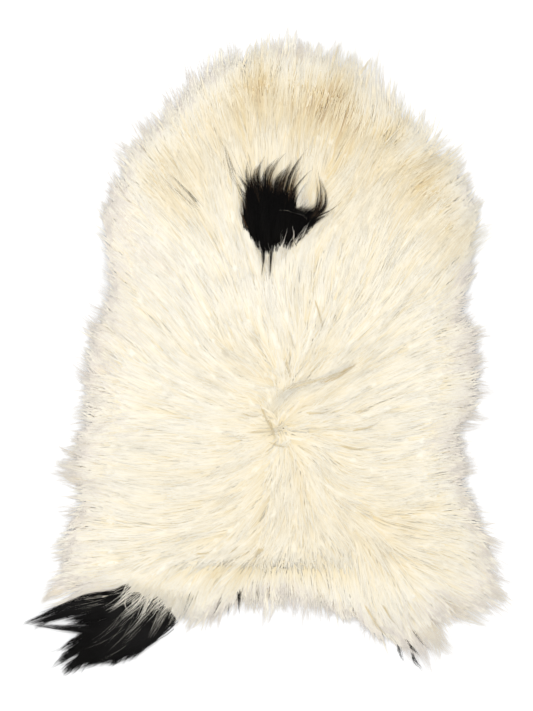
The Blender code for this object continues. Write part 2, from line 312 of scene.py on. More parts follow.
# where the photograph's locks end nearer or farther than the solid's: pixels, radius, millimetres
tipTrims = [
    (365, 632, 34, -30), (62, 536, 30, -17), (488, 530, 32, -16), (470, 438, 22, -12),
    (474, 300, 20, -8), (480, 350, 20, -7), (102, 232, 24, -12), (105, 290, 18, -8),
    (420, 668, 18, 10), (436, 655, 14, 16), (486, 616, 16, 22), (278, 608, 40, 12),
    (55, 465, 14, 12), (132, 140, 16, 12), (474, 175, 16, 15), (484, 225, 12, 8),
    (182, 82, 14, 10), (230, 50, 16, 12), (355, 58, 20, 8),
]
tipPlaces = whorl + spokes * tipReach[:, None]
for across, down, radius, change in tipTrims:
    tipReach += nearPixel(tipPlaces, across, down, radius) * change / 1000


def alongRim(points, values):
    # the rim's values on the bearings that the points have from the whorl
    apart = points - whorl
    turns = np.mod(np.arctan2(apart[:, 1], apart[:, 0]), 2 * math.pi)
    return np.interp(turns, bearings, values, period=2 * math.pi)


print("comb and outline worked out")


# the dark markings in pixels of the photograph: the patch's roots, then where its strands end and
# cream ones stop; where cream ones stop at the tuft, and where the tuft's own strands end
crownRoots = fromPixels([
    (250, 203), (247, 212), (244, 221), (248, 231), (255, 242), (262, 253), (270, 253), (278, 247),
    (288, 247), (297, 240), (305, 229), (310, 221), (300, 219), (293, 212), (286, 205), (270, 201),
    (255, 201),
])
crownShown = fromPixels([
    (248, 190), (247, 205), (243, 219), (247, 231), (254, 242), (261, 252), (270, 252), (278, 246),
    (288, 247), (296, 240), (305, 228), (313, 219), (315, 214), (305, 213), (296, 207), (289, 200),
    (277, 195), (263, 190), (250, 187),
])
tuftShown = fromPixels([
    (178, 622), (160, 614), (131, 609), (100, 612), (60, 622), (40, 634), (45, 650), (60, 668),
    (101, 668), (131, 662), (161, 637),
])
tuftReach = fromPixels([
    (182, 616), (171, 637), (151, 650), (134, 662), (112, 667), (84, 670), (62, 674), (48, 665),
    (56, 650), (64, 642), (76, 636), (92, 629), (66, 624), (36, 629), (24, 630), (22, 624),
    (60, 606), (95, 597), (130, 588), (160, 596),
])


# the under-wool is a thick soft slab that carries the strands
underWool = {
    "rings": 84,
    "ringBias": 1.25,          # over 1, the rings stand closer together towards the rim
    "smoothing": 3,
    "heightShare": 0.84,       # of the solid's height, so that the strands end at its top
    "underside": 0.0023,       # just over the hide
    "rimInset": 0.002,
    "rimWidth": 0.050,         # the rounded edge
    "lumpHeight": 0.0018,      # the locks' own relief: a usual height, and the most
    "lumpMost": 0.0042,
    "lumpSize": 0.013,
    "lumpLength": 0.055,
    "lumpSteps": 6,
    "lumpSeed": 3.7,
    "ridgeStart": (276, 421),  # the raised fold beside the whorl, in pixels
    "ridgeEnd": (360, 366),
    "ridgeHeight": 0.011,
    "ridgeWidth": 0.011,
}
edgeReach = slabReach - underWool["rimInset"]


def insideEdge(points):
    # how far inside the slab's edge the points are, on their own bearings
    return alongRim(points, edgeReach) - np.linalg.norm(points - whorl, axis=1)


ringPlace = np.arange(1, underWool["rings"] + 1) / underWool["rings"]
ringShare = 1.0 - (1.0 - ringPlace) ** underWool["ringBias"]
polar = ringShare[:, None, None] * edgeReach[None, :, None] * spokes[None, :, :]
places = (whorl + polar).reshape(-1, 2)
solidHeights = np.array([heightOn([fleeceTop], x, y) for x, y in places])
solidHeights = solidHeights.reshape(underWool["rings"], outline["columns"])
solidHeights = softened(solidHeights, underWool["smoothing"], True).ravel()

inRim = np.clip(1.0 - insideEdge(places) / underWool["rimWidth"], 0.0, 1.0)
roundedRim = np.sqrt(1.0 - inRim ** 2)

lockRise = streaks(places, creamComb, underWool["lumpSize"], underWool["lumpLength"],
                   underWool["lumpSteps"], underWool["lumpSeed"])
lockRise = lockRise / lockRise.std()
lumps = np.clip(lockRise * underWool["lumpHeight"], -underWool["lumpMost"], underWool["lumpMost"])
lumps = lumps * (1.0 - inRim)

ridgeStart = fromPixel(*underWool["ridgeStart"])
ridgeSpan = fromPixel(*underWool["ridgeEnd"]) - ridgeStart
ridgeLong = np.linalg.norm(ridgeSpan)
ridgeWay = ridgeSpan / ridgeLong
onRidge = np.clip((places - ridgeStart) @ ridgeWay, 0.0, ridgeLong)
nearRidge = ridgeStart + onRidge[:, None] * ridgeWay
ridge = underWool["ridgeHeight"] * nearness(places, nearRidge, underWool["ridgeWidth"])

heights = underWool["underside"] + solidHeights * underWool["heightShare"] * roundedRim
heights = np.maximum(heights + lumps + ridge, underWool["underside"])


def ringFaces(rings, columns, first, top, bottom):
    # bands between rings of corners, closed by a fan above and a fan below
    rim = first + (rings - 1) * columns
    faces = []
    for column in range(columns):
        beside = (column + 1) % columns
        faces.append((top, first + column, first + beside))
        faces.append((rim + beside, rim + column, bottom))
        for ring in range(rings - 1):
            inner = first + ring * columns
            outer = inner + columns
            faces.append((inner + column, outer + column, outer + beside, inner + beside))
    return faces


def makeUnderWool():
    columns = outline["columns"]
    corners = [(*whorl, heights[:columns].mean())]
    corners += [(x, y, z) for (x, y), z in zip(places, heights)]
    corners += [(*whorl, underWool["underside"])]
    faces = ringFaces(underWool["rings"], columns, 1, 0, len(corners) - 1)
    return newPiece("fleece_base", corners, faces)


fleeceBase = makeUnderWool()
roots = np.array([vertex.co for vertex in fleeceBase.data.vertices])[:, :2]
print("under-wool made,", len(fleeceBase.data.polygons), "faces")


# the dark under-wool of the leg tuft
tuftCore = fromPixels([
    (176, 618), (166, 631), (150, 643), (128, 658), (100, 663), (80, 660), (77, 646), (88, 634),
    (92, 620), (104, 605), (130, 603), (155, 607),
])

tuftUnder = {
    "columns": 72,
    "rings": 18,
    "centre": (119, 627),      # in pixels of the photograph
    "farthest": 0.16,
    "nearest": 0.02,
    "step": 0.002,
    "smoothing": 2,
    "heightShare": 0.80,
    "roundness": 4,            # a higher power keeps the dome level farther out
    "underside": 0.0006,
    "shade": 0.05,
    "curl": 0.6,
}


def makeTuftUnder():
    centre = fromPixel(*tuftUnder["centre"])
    columns = tuftUnder["columns"]
    rings = tuftUnder["rings"]
    ways = waysOf(turnsOf(columns))
    reaches = [reachOf(centre, way, tuftUnder, lambda place: insideOf(np.array([place]), tuftCore)[0])
               for way in ways]
    reaches = roundTheRim(np.array(reaches), tuftUnder["smoothing"])
    corners = []
    for ring in range(rings):
        share = (ring + 1) / rings
        dome = math.sqrt(1.0 - share ** tuftUnder["roundness"])
        for way, reach in zip(ways, reaches):
            spot = centre + way * reach * share
            height = heightOn([tuftTop], *spot) * tuftUnder["heightShare"]
            corners.append((*spot, height * dome + tuftUnder["underside"]))
    top = len(corners)
    corners.append((*centre, heightOn([tuftTop], *centre) * tuftUnder["heightShare"]))
    corners.append((*centre, tuftUnder["underside"]))
    return newPiece("dark_tuft_base", corners, ringFaces(rings, columns, 0, top, top + 1))


tuftBase = makeTuftUnder()
tuftRoots = np.array([vertex.co for vertex in tuftBase.data.vertices])[:, :2]


# a drape gives the height that strands lie at, over the wool and down to the floor round it
drapeSizes = {
    "cell": 0.004,
    "halfWidth": 0.45,
    "halfLength": 0.57,
    "fall": 0.65,              # how steeply the wool comes down outside the rim
    "fallSteps": 18,
    "aslant": 1.414,           # the way to a neighbour across a corner, in cells
    "widening": 1,             # in cells, so that the strands clear the rim of the base
    "smoothing": 2,
    "floor": 0.0010,
    "clearance": 0.0004,
    "clearFrom": 0.02,         # wool of this height has all of the clearance
}


def highestBeside(field):
    # the highest of the four neighbours, and of the four across the corners
    padded = np.pad(field, 1, mode="edge")
    straight = [padded[:-2, 1:-1], padded[2:, 1:-1], padded[1:-1, :-2], padded[1:-1, 2:]]
    aslant = [padded[:-2, :-2], padded[2:, 2:], padded[:-2, 2:], padded[2:, :-2]]
    return np.max(straight, axis=0), np.max(aslant, axis=0)


def makeDrape():
    acrossLine, alongLine = gridLines(drapeSizes)
    rows = len(alongLine)
    trees = [surfaceOf(base) for base in (fleeceBase, tuftBase)]
    field = np.array([[heightOn(trees, x, y) for y in alongLine] for x in acrossLine])
    for step in range(drapeSizes["widening"]):
        field = np.maximum(field, highestBeside(field)[0])
    drop = drapeSizes["cell"] * drapeSizes["fall"]
    for step in range(drapeSizes["fallSteps"]):
        straight, aslant = highestBeside(field)
        field = np.maximum(field, straight - drop)
        field = np.maximum(field, aslant - drop * drapeSizes["aslant"])
    field = softened(field, drapeSizes["smoothing"], False)
    clearance = drapeSizes["clearance"] * smoothStep(0.0, drapeSizes["clearFrom"], field)
    field = np.maximum(field + clearance, drapeSizes["floor"])
    corners = [(x, y, field[i, j]) for i, x in enumerate(acrossLine) for j, y in enumerate(alongLine)]
    faces = [(i * rows + j, (i + 1) * rows + j, (i + 1) * rows + j + 1, i * rows + j + 1)
             for i in range(len(acrossLine) - 1) for j in range(rows - 1)]
    return newPiece("drape", corners, faces)


drape = makeDrape()
print("drape made")


# what each root on the under-wool knows: its comb, room ahead, length, tone and cover
growth = {
    "step": 0.004,
    "least": 0.006,            # the room that every strand has
    "farthest": 0.13,
    "beyondTips": 0.016,       # how far single strands pass the solid's own tips
    "outwardBand": 0.050,      # the wool turns outward over this width of the rim
    "outwardPull": 0.45,
    "rimBand": 0.060,          # the coat turns greyer and pinker over this width: painted shade where the wool falls away, on a pinker tone
    "rimPaintedShade": 0.97,
    "rimStart": 0.045,         # the rim's own strands start this far in, and are thickest from here
    "rimFull": 0.012,
    "fanBeyond": 0.030,        # the dark patch ends in a fan of locks that pass its solid part
    "fanDeep": 0.034,
    "shelfLine": -0.343,       # the band behind the rump starts here
    "shelfLeft": -0.155,
    "shelfRight": 0.148,
    "shelfMargin": 0.004,
    "shelfAbove": 0.008,       # the coat is thicker from this far above the line to this far below it
    "shelfBelow": 0.030,
    "shelfFull": 0.006,
}


def roomAhead(points, grid, stops):
    here = points.copy()
    room = np.full(len(points), growth["least"])
    going = np.ones(len(points), bool)
    for step in range(int(growth["farthest"] / growth["step"])):
        here = here + combAt(here, grid) * growth["step"]
        going &= ~stops(here)
        room += growth["step"] * going
    return room


def alongShelf(points):
    return (points[:, 0] > growth["shelfLeft"]) & (points[:, 0] < growth["shelfRight"])


aboveShelf = alongShelf(roots) & (roots[:, 1] > growth["shelfLine"] + growth["shelfMargin"])


def creamStops(here):
    farOut = alongRim(here, tipReach) + growth["beyondTips"]
    pastOutline = np.linalg.norm(here - whorl, axis=1) > farOut
    pastShelf = aboveShelf & alongShelf(here) & (here[:, 1] < growth["shelfLine"])
    return pastOutline | pastShelf | insideOf(here, crownShown) | insideOf(here, tuftShown)


# tints of the coat in pixels of the photograph: place, radius, and the shade on the palette; the
# rest tint holds away from all of them
restTint = 0.78
restWeight = 0.2
tints = [
    (258, 84, 20, 0.22), (236, 92, 16, 0.38), (282, 96, 16, 0.44), (288, 74, 12, 0.54),
    (324, 98, 20, 0.14), (346, 88, 16, 0.26), (350, 112, 18, 0.24), (372, 118, 18, 0.30),
    (302, 112, 16, 0.44), (392, 136, 18, 0.30), (414, 162, 20, 0.26), (432, 182, 20, 0.24),
    (450, 200, 16, 0.36), (236, 124, 18, 0.54), (258, 144, 20, 0.66), (282, 132, 20, 0.62),
    (312, 142, 20, 0.68), (342, 142, 18, 0.66), (370, 162, 24, 0.60), (350, 190, 24, 0.58),
    (395, 190, 20, 0.62), (240, 58, 12, 0.66), (282, 58, 12, 0.64), (330, 62, 12, 0.66),
    (212, 82, 14, 0.66), (395, 92, 12, 0.84), (212, 110, 18, 0.52), (190, 112, 16, 0.52),
    (168, 142, 18, 0.46), (172, 168, 18, 0.48), (160, 190, 18, 0.48), (198, 150, 20, 0.64),
    (195, 190, 22, 0.62), (222, 172, 20, 0.64), (456, 228, 16, 0.40), (456, 256, 16, 0.52),
    # on this line and the next, shades of 0.90 and over carry the rim's greyer, pinker tone with its painted
    # shade farther in
    (134, 186, 18, 0.90), (120, 225, 26, 0.97), (112, 280, 24, 0.97), (452, 284, 18, 0.74),
    (460, 310, 18, 0.92), (100, 470, 18, 0.93), (95, 520, 18, 0.92), (470, 520, 20, 0.90),
    (265, 390, 40, 0.70), (300, 440, 40, 0.72), (270, 425, 12, 0.56), (285, 330, 50, 0.84),
    # (350, 368) on the next line is painted shade in the furrow on the lower side of the raised fold
    (360, 380, 50, 0.74), (231, 356, 10, 0.58), (260, 341, 10, 0.62), (350, 368, 8, 0.46),
    (150, 300, 60, 0.86), (140, 400, 60, 0.84), (150, 500, 60, 0.79), (230, 190, 40, 0.82),
    (430, 310, 50, 0.83), (420, 430, 60, 0.90), (250, 520, 60, 0.71), (380, 530, 40, 0.64),
    (390, 490, 40, 0.68), (400, 260, 40, 0.80), (230, 260, 50, 0.86), (420, 610, 40, 0.86),
    (250, 605, 30, 0.86), (60, 590, 30, 0.88), (110, 575, 34, 0.87), (155, 580, 26, 0.87),
    # painted shadow: the seven tints along y 570 to 576, from (200, 574) to (350, 570), darken the band
    # under the rump's overhanging edge
    (200, 574, 9, 0.66), (225, 575, 9, 0.62), (250, 576, 9, 0.62), (275, 574, 9, 0.64),
    (300, 573, 9, 0.68), (325, 572, 9, 0.72), (350, 570, 12, 0.80), (257, 553, 7, 0.50),
    (357, 548, 7, 0.56), (190, 560, 24, 0.84), (345, 590, 20, 0.86),
]


def shadeOf(points):
    weights = np.full(len(points), restWeight)
    shades = weights * restTint
    for across, down, radius, shade in tints:
        near = nearPixel(points, across, down, radius)
        weights = weights + near
        shades = shades + near * shade
    return shades / weights


# how the coat changes from place to place: places in pixels of the photograph, reaches in metres
coat = {
    "whorlShorter": 0.45,      # the shares that the strands are shorter by
    "whorlShortReach": 0.07,
    "legShorter": 0.15,
    "legFrom": -0.33,
    "legTo": -0.40,
    "tuftPlace": (155, 598),   # no painted rim shade here
    "tuftPlaceReach": 0.06,
    "ochrePlaces": [(256, 78), (336, 88), (394, 130), (430, 172), (458, 235)],   # and little of it here
    "ochreReach": 0.032,
    "ochreShare": 0.8,
    "paintedFurrowShade": 0.035,        # painted shade: furrows between the lumps darker, lump tops paler
    "lumpLimits": (-2.5, 1.5),
    "shadeLimits": (0.30, 0.98),
    "curl": 0.35,
    "foldPlace": (290, 385),
    "foldCurl": 1.2,
    "foldReach": 0.06,
    "whorlCurl": 0.6,
    "whorlCurlReach": 0.08,
    "whorlThicker": 1.3,
    "whorlThickReach": 0.10,
    "crownThinner": 0.5,       # cream strands under the dark patch's own
}


def dressRoots():
    inside = insideEdge(roots)
    rimness = smoothStep(growth["outwardBand"], 0.0, inside)
    outward = unitOf(roots - whorl, 1e-6) * rimness[:, None] * growth["outwardPull"]

    lengthShare = 1.0 - coat["whorlShorter"] * nearness(roots, whorl, coat["whorlShortReach"])
    lengthShare -= coat["legShorter"] * smoothStep(coat["legFrom"], coat["legTo"], roots[:, 1])

    # painted shade towards the rim, left out at the tuft and mostly left out at the ochre places
    rimShadeShare = smoothStep(growth["rimBand"], 0.0, inside)
    rimShadeShare *= 1.0 - nearness(roots, fromPixel(*coat["tuftPlace"]), coat["tuftPlaceReach"])
    for place in coat["ochrePlaces"]:
        rimShadeShare *= 1.0 - coat["ochreShare"] * nearness(roots, fromPixel(*place), coat["ochreReach"])
    shade = shadeOf(roots) * (1.0 - rimShadeShare) + growth["rimPaintedShade"] * rimShadeShare
    # painted shade in the furrows between lumps
    shade[1:-1] += coat["paintedFurrowShade"] * np.clip(lockRise, *coat["lumpLimits"])

    nearFold = nearness(roots, fromPixel(*coat["foldPlace"]), coat["foldReach"])
    curl = coat["curl"] + coat["foldCurl"] * nearFold
    curl += coat["whorlCurl"] * nearness(roots, whorl, coat["whorlCurlReach"])

    topSide = np.ones(len(roots))
    topSide[-1] = 0.0
    inCrown = insideOf(roots, crownRoots)
    underCrown = insideOf(roots, crownShown)
    thicker = 1.0 + coat["whorlThicker"] * nearness(roots, whorl, coat["whorlThickReach"])
    line = growth["shelfLine"]
    thicker += (smoothStep(line - growth["shelfBelow"], line - growth["shelfFull"], roots[:, 1])
                * smoothStep(line + growth["shelfAbove"], line, roots[:, 1]))
    cover = topSide * (1.0 - inCrown) * (1.0 - coat["crownThinner"] * underCrown) * thicker

    crownRoom = roomAhead(roots, crownComb, lambda here: ~insideOf(here, crownShown))
    writeAttributes(fleeceBase, {
        "comb": unitOf(combAt(roots, creamComb) + outward),
        "room": roomAhead(roots, creamComb, creamStops),
        "lengthShare": lengthShare,
        "shade": np.clip(shade, *coat["shadeLimits"]),
        "curl": curl,
        "creamCover": cover,
        "rimCover": topSide * smoothStep(growth["rimStart"], growth["rimFull"], inside),
        "crownCover": inCrown,
        "crownComb": combAt(roots, crownComb),
        "crownRoom": crownRoom,
        "fanRoom": crownRoom + growth["fanBeyond"],
        "fanCover": inCrown & (crownRoom < growth["fanDeep"]),
        "dark": underCrown,
    })


def dressTuftRoots():
    cover = np.ones(len(tuftRoots))
    cover[-1] = 0.0
    writeAttributes(tuftBase, {
        "comb": combAt(tuftRoots, tuftComb),
        "room": roomAhead(tuftRoots, tuftComb, lambda here: ~insideOf(here, tuftReach)),
        "lengthShare": np.ones(len(tuftRoots)),
        "shade": np.full(len(tuftRoots), tuftUnder["shade"]),
        "curl": np.full(len(tuftRoots), tuftUnder["curl"]),
        "tuftCover": cover,
        "dark": cover,
    })


dressRoots()
dressTuftRoots()
print("roots dressed")


def put(tree, kind, inputs=None, **settings):
    node = tree.nodes.new(kind)
    for name, value in settings.items():
        setattr(node, name, value)
    for key, value in (inputs or {}).items():
        if isinstance(value, bpy.types.NodeSocket):
            tree.links.new(value, node.inputs[key])
        else:
            node.inputs[key].default_value = value
    return node


def maths(tree, operation, first, second=0.0, third=0.0):
    return put(tree, "ShaderNodeMath", {0: first, 1: second, 2: third}, operation=operation).outputs[0]


def vectors(tree, operation, first, second=(0, 0, 0)):
    return put(tree, "ShaderNodeVectorMath", {0: first, 1: second}, operation=operation).outputs[0]


def scaled(tree, vector, factor):
    return put(tree, "ShaderNodeVectorMath", {0: vector, 3: factor}, operation="SCALE").outputs[0]


def moved(tree, spot, way, distance):
    return vectors(tree, "ADD", spot, scaled(tree, way, distance))


def blended(tree, factor, first, second):
    return moved(tree, first, vectors(tree, "SUBTRACT", second, first), factor)


def turned(tree, vector, angle):
    return put(tree, "ShaderNodeVectorRotate", {"Vector": vector, "Angle": angle},
               rotation_type="Z_AXIS").outputs[0]


def named(tree, name, kind="FLOAT"):
    return put(tree, "GeometryNodeInputNamedAttribute", {"Name": name}, data_type=kind).outputs[0]


def stored(tree, geometry, name, value, kind="FLOAT", domain="POINT"):
    return put(tree, "GeometryNodeStoreNamedAttribute",
               {"Geometry": geometry, "Name": name, "Value": value},
               data_type=kind, domain=domain).outputs[0]


def chance(tree, low, high, which, seed):
    return put(tree, "FunctionNodeRandomValue", {2: low, 3: high, "ID": which, "Seed": seed},
               data_type="FLOAT").outputs[1]


def newTree(name, sockets):
    tree = bpy.data.node_groups.new(name, "GeometryNodeTree")
    tree.interface.new_socket(name="Geometry", in_out="INPUT", socket_type="NodeSocketGeometry")
    for label, kind, value in sockets:
        socket = tree.interface.new_socket(name=label, in_out="INPUT", socket_type="NodeSocket" + kind)
        if value is not None:
            socket.default_value = value
    tree.interface.new_socket(name="Geometry", in_out="OUTPUT", socket_type="NodeSocketGeometry")
    given = tree.nodes.new("NodeGroupInput").outputs
    return tree, given


def endTree(tree, geometry):
    end = tree.nodes.new("NodeGroupOutput")
    tree.links.new(geometry, end.inputs[0])


# each root point carries root, bend and tip, and becomes one tapered strand
strandSockets = [
    ("Drape", "Object", None),
    ("Points", "Int", 6),
    ("Width", "Float", 0.0015),
    ("Flatness", "Float", 0.55),
    ("Root Lift", "Float", -0.002),
    ("Tip Lift", "Float", 0.004),
    ("Rise", "Float", 0.7),           # under 1 lifts a strand early, over 1 late
    ("Wave Height", "Float", 0.002),
    ("Waves", "Float", 1.5),
    ("Softness", "Float", 0.8),       # how far a strand is lit as the coat that it lies in
    ("Levelling", "Float", 0.35),     # how far that coat is taken as level
    ("Material", "Material", None),
]
strandShape = {
    "sides": 3,                # with a ridge upwards
    "lowest": 0.0012,          # over the floor
    "taper": 2.0,              # a higher power keeps a strand wide farther out
    "tipWidth": 0.08,          # of the strand's width
    "sideShade": 0.012,        # one side of a strand is paler than the other
}
shadeEnds = (0.02, 0.98)       # keeps off the very ends of the map that the palette reads


def strandsFromRoots():
    tree, given = newTree("strandsFromRoots", strandSockets)
    index = put(tree, "GeometryNodeInputIndex").outputs[0]
    points = stored(tree, given["Geometry"], "strand", index, "INT")
    copies = put(tree, "GeometryNodeDuplicateElements",
                 {"Geometry": points, "Amount": given["Points"]}, domain="POINT")
    last = maths(tree, "SUBTRACT", given["Points"], 1.0)
    share = maths(tree, "DIVIDE", copies.outputs["Duplicate Index"], last)
    points = stored(tree, copies.outputs["Geometry"], "along", share)
    along = named(tree, "along")

    # on plan: a bend from root to tip, with a wave across it
    root, bend, tip = [named(tree, label, "FLOAT_VECTOR") for label in ("root", "bend", "tip")]
    first = blended(tree, along, root, bend)
    second = blended(tree, along, bend, tip)
    spot = blended(tree, along, first, second)
    heading = vectors(tree, "NORMALIZE", vectors(tree, "SUBTRACT", second, first))
    sideways = turned(tree, heading, math.pi / 2)
    turn = maths(tree, "MULTIPLY_ADD", along, given["Waves"], named(tree, "phase"))
    wave = maths(tree, "SINE", maths(tree, "MULTIPLY", turn, 2 * math.pi))
    wave = maths(tree, "MULTIPLY", wave, maths(tree, "MULTIPLY", named(tree, "curl"), along))
    wave = maths(tree, "MULTIPLY", wave, given["Wave Height"])
    spot = moved(tree, spot, sideways, wave)

    # in height: down onto the drape, lifted more towards the tip
    flatSpot = vectors(tree, "MULTIPLY", spot, (1, 1, 0))
    above = vectors(tree, "ADD", flatSpot, (0, 0, wellAbove))
    surface = put(tree, "GeometryNodeObjectInfo", {"Object": given["Drape"]}).outputs["Geometry"]
    ray = put(tree, "GeometryNodeRaycast",
              {"Target Geometry": surface, "Source Position": above,
               "Ray Direction": (0, 0, -1), "Ray Length": 1.0})
    ground = put(tree, "ShaderNodeSeparateXYZ", {0: ray.outputs["Hit Position"]}).outputs[2]
    rise = maths(tree, "SUBTRACT", given["Tip Lift"], given["Root Lift"])
    rise = maths(tree, "MULTIPLY", rise, maths(tree, "POWER", along, given["Rise"]))
    lift = maths(tree, "ADD", maths(tree, "ADD", given["Root Lift"], rise), named(tree, "layer"))
    height = maths(tree, "MAXIMUM", maths(tree, "ADD", ground, lift), strandShape["lowest"])
    raised = put(tree, "ShaderNodeCombineXYZ", {2: height}).outputs[0]
    facing = blended(tree, given["Levelling"], ray.outputs["Hit Normal"], (0, 0, 1))
    lit = stored(tree, points, "coat", facing, "FLOAT_VECTOR")
    points = put(tree, "GeometryNodeSetPosition",
                 {"Geometry": lit, "Position": vectors(tree, "ADD", flatSpot, raised)}).outputs[0]

    # a flattened tube along each strand, which narrows to its tip
    curves = put(tree, "GeometryNodePointsToCurves",
                 {"Points": points, "Curve Group ID": named(tree, "strand", "INT"),
                  "Weight": along}).outputs[0]
    curves = put(tree, "GeometryNodeSetCurveNormal", {"Curve": curves}, mode="Z_UP").outputs[0]
    profile = put(tree, "GeometryNodeCurvePrimitiveCircle",
                  {"Resolution": strandShape["sides"], "Radius": 1.0}).outputs[0]
    flat = put(tree, "ShaderNodeCombineXYZ", {0: given["Flatness"], 1: 1.0, 2: 1.0}).outputs[0]
    shape = put(tree, "GeometryNodeTransform",
                {"Geometry": profile, "Rotation": (0, 0, math.pi / 2), "Scale": flat}).outputs[0]
    corner = put(tree, "GeometryNodeInputPosition").outputs[0]
    across = put(tree, "ShaderNodeSeparateXYZ", {0: corner}).outputs[0]
    shape = stored(tree, shape, "across", across)
    fade = maths(tree, "SUBTRACT", 1.0, maths(tree, "POWER", along, strandShape["taper"]))
    swell = maths(tree, "MULTIPLY_ADD", fade, 1.0 - strandShape["tipWidth"], strandShape["tipWidth"])
    girth = maths(tree, "MULTIPLY", named(tree, "girth"), maths(tree, "MULTIPLY", given["Width"], 0.5))
    girth = maths(tree, "MULTIPLY", girth, swell)
    strands = put(tree, "GeometryNodeCurveToMesh",
                  {"Curve": curves, "Profile Curve": shape, "Scale": girth, "Fill Caps": True}).outputs[0]

    # the map that the palette reads: shade across, root to tip along
    change = maths(tree, "SUBTRACT", named(tree, "tipShade"), named(tree, "shade"))
    shade = maths(tree, "MULTIPLY_ADD", named(tree, "along"), change, named(tree, "shade"))
    shade = maths(tree, "MULTIPLY_ADD", named(tree, "across"), strandShape["sideShade"], shade)
    rootToTip = put(tree, "ShaderNodeMapRange",
                    {0: named(tree, "along"), 3: shadeEnds[0], 4: shadeEnds[1]}).outputs[0]
    place = put(tree, "ShaderNodeCombineXYZ", {0: shade, 1: rootToTip}).outputs[0]
    strands = stored(tree, strands, "OFBake", place, "FLOAT2", "CORNER")
    strands = put(tree, "GeometryNodeSetShadeSmooth", {"Geometry": strands}).outputs[0]
    own = put(tree, "GeometryNodeInputNormal").outputs[0]
    soft = blended(tree, given["Softness"], own, named(tree, "coat", "FLOAT_VECTOR"))
    strands = put(tree, "GeometryNodeSetMeshNormal",
                  {"Mesh": strands, "Custom Normal": vectors(tree, "NORMALIZE", soft)},
                  mode="FREE", domain="POINT").outputs[0]
    whole = put(tree, "GeometryNodeRealizeInstances", {"Geometry": strands}).outputs[0]
    endTree(tree, put(tree, "GeometryNodeSetMaterial",
                      {"Geometry": whole, "Material": given["Material"]}).outputs[0])
    return tree


strandTree = strandsFromRoots()


def endWithStrands(tree, given, points):
    # hands the roots on to the strand tree, with each of the strands' own settings
    settings = {label: given[label] for label, kind, value in strandSockets}
    grown = put(tree, "GeometryNodeGroup", {"Geometry": points, **settings}, node_tree=strandTree)
    endTree(tree, grown.outputs[0])


# how strands and locks differ from one another in every layer, as shares of the layer's own values
wander = {
    "lockLength": (0.85, 1.1),
    "ownTurn": 0.09,           # radians
    "bendPull": 0.55,
    "bendStray": 0.4,
    "lockShade": 0.6,
    "ownShade": 0.7,
    "goldenPower": 7.0,        # a few strands are much more golden than the rest
    "ownPhase": 0.08,          # turns
    "lockLayer": 0.6,
    "ownLayer": 0.5,
    "girth": (0.7, 1.25),
}

# what is added to a layer's seed for each of its chances
seedShifts = {
    "strands": 0.0, "length": 0.0, "lockLength": 5.0, "lockReach": 6.0, "lockTurn": 7.0, "ownTurn": 8.0,
    "stray": 9.0, "lockShade": 10.0, "ownShade": 11.0, "lockPhase": 12.0, "ownPhase": 13.0,
    "lockLayer": 14.0, "ownLayer": 15.0, "girth": 16.0, "hairReach": 17.0, "golden": 18.0, "locks": 71.0,
}


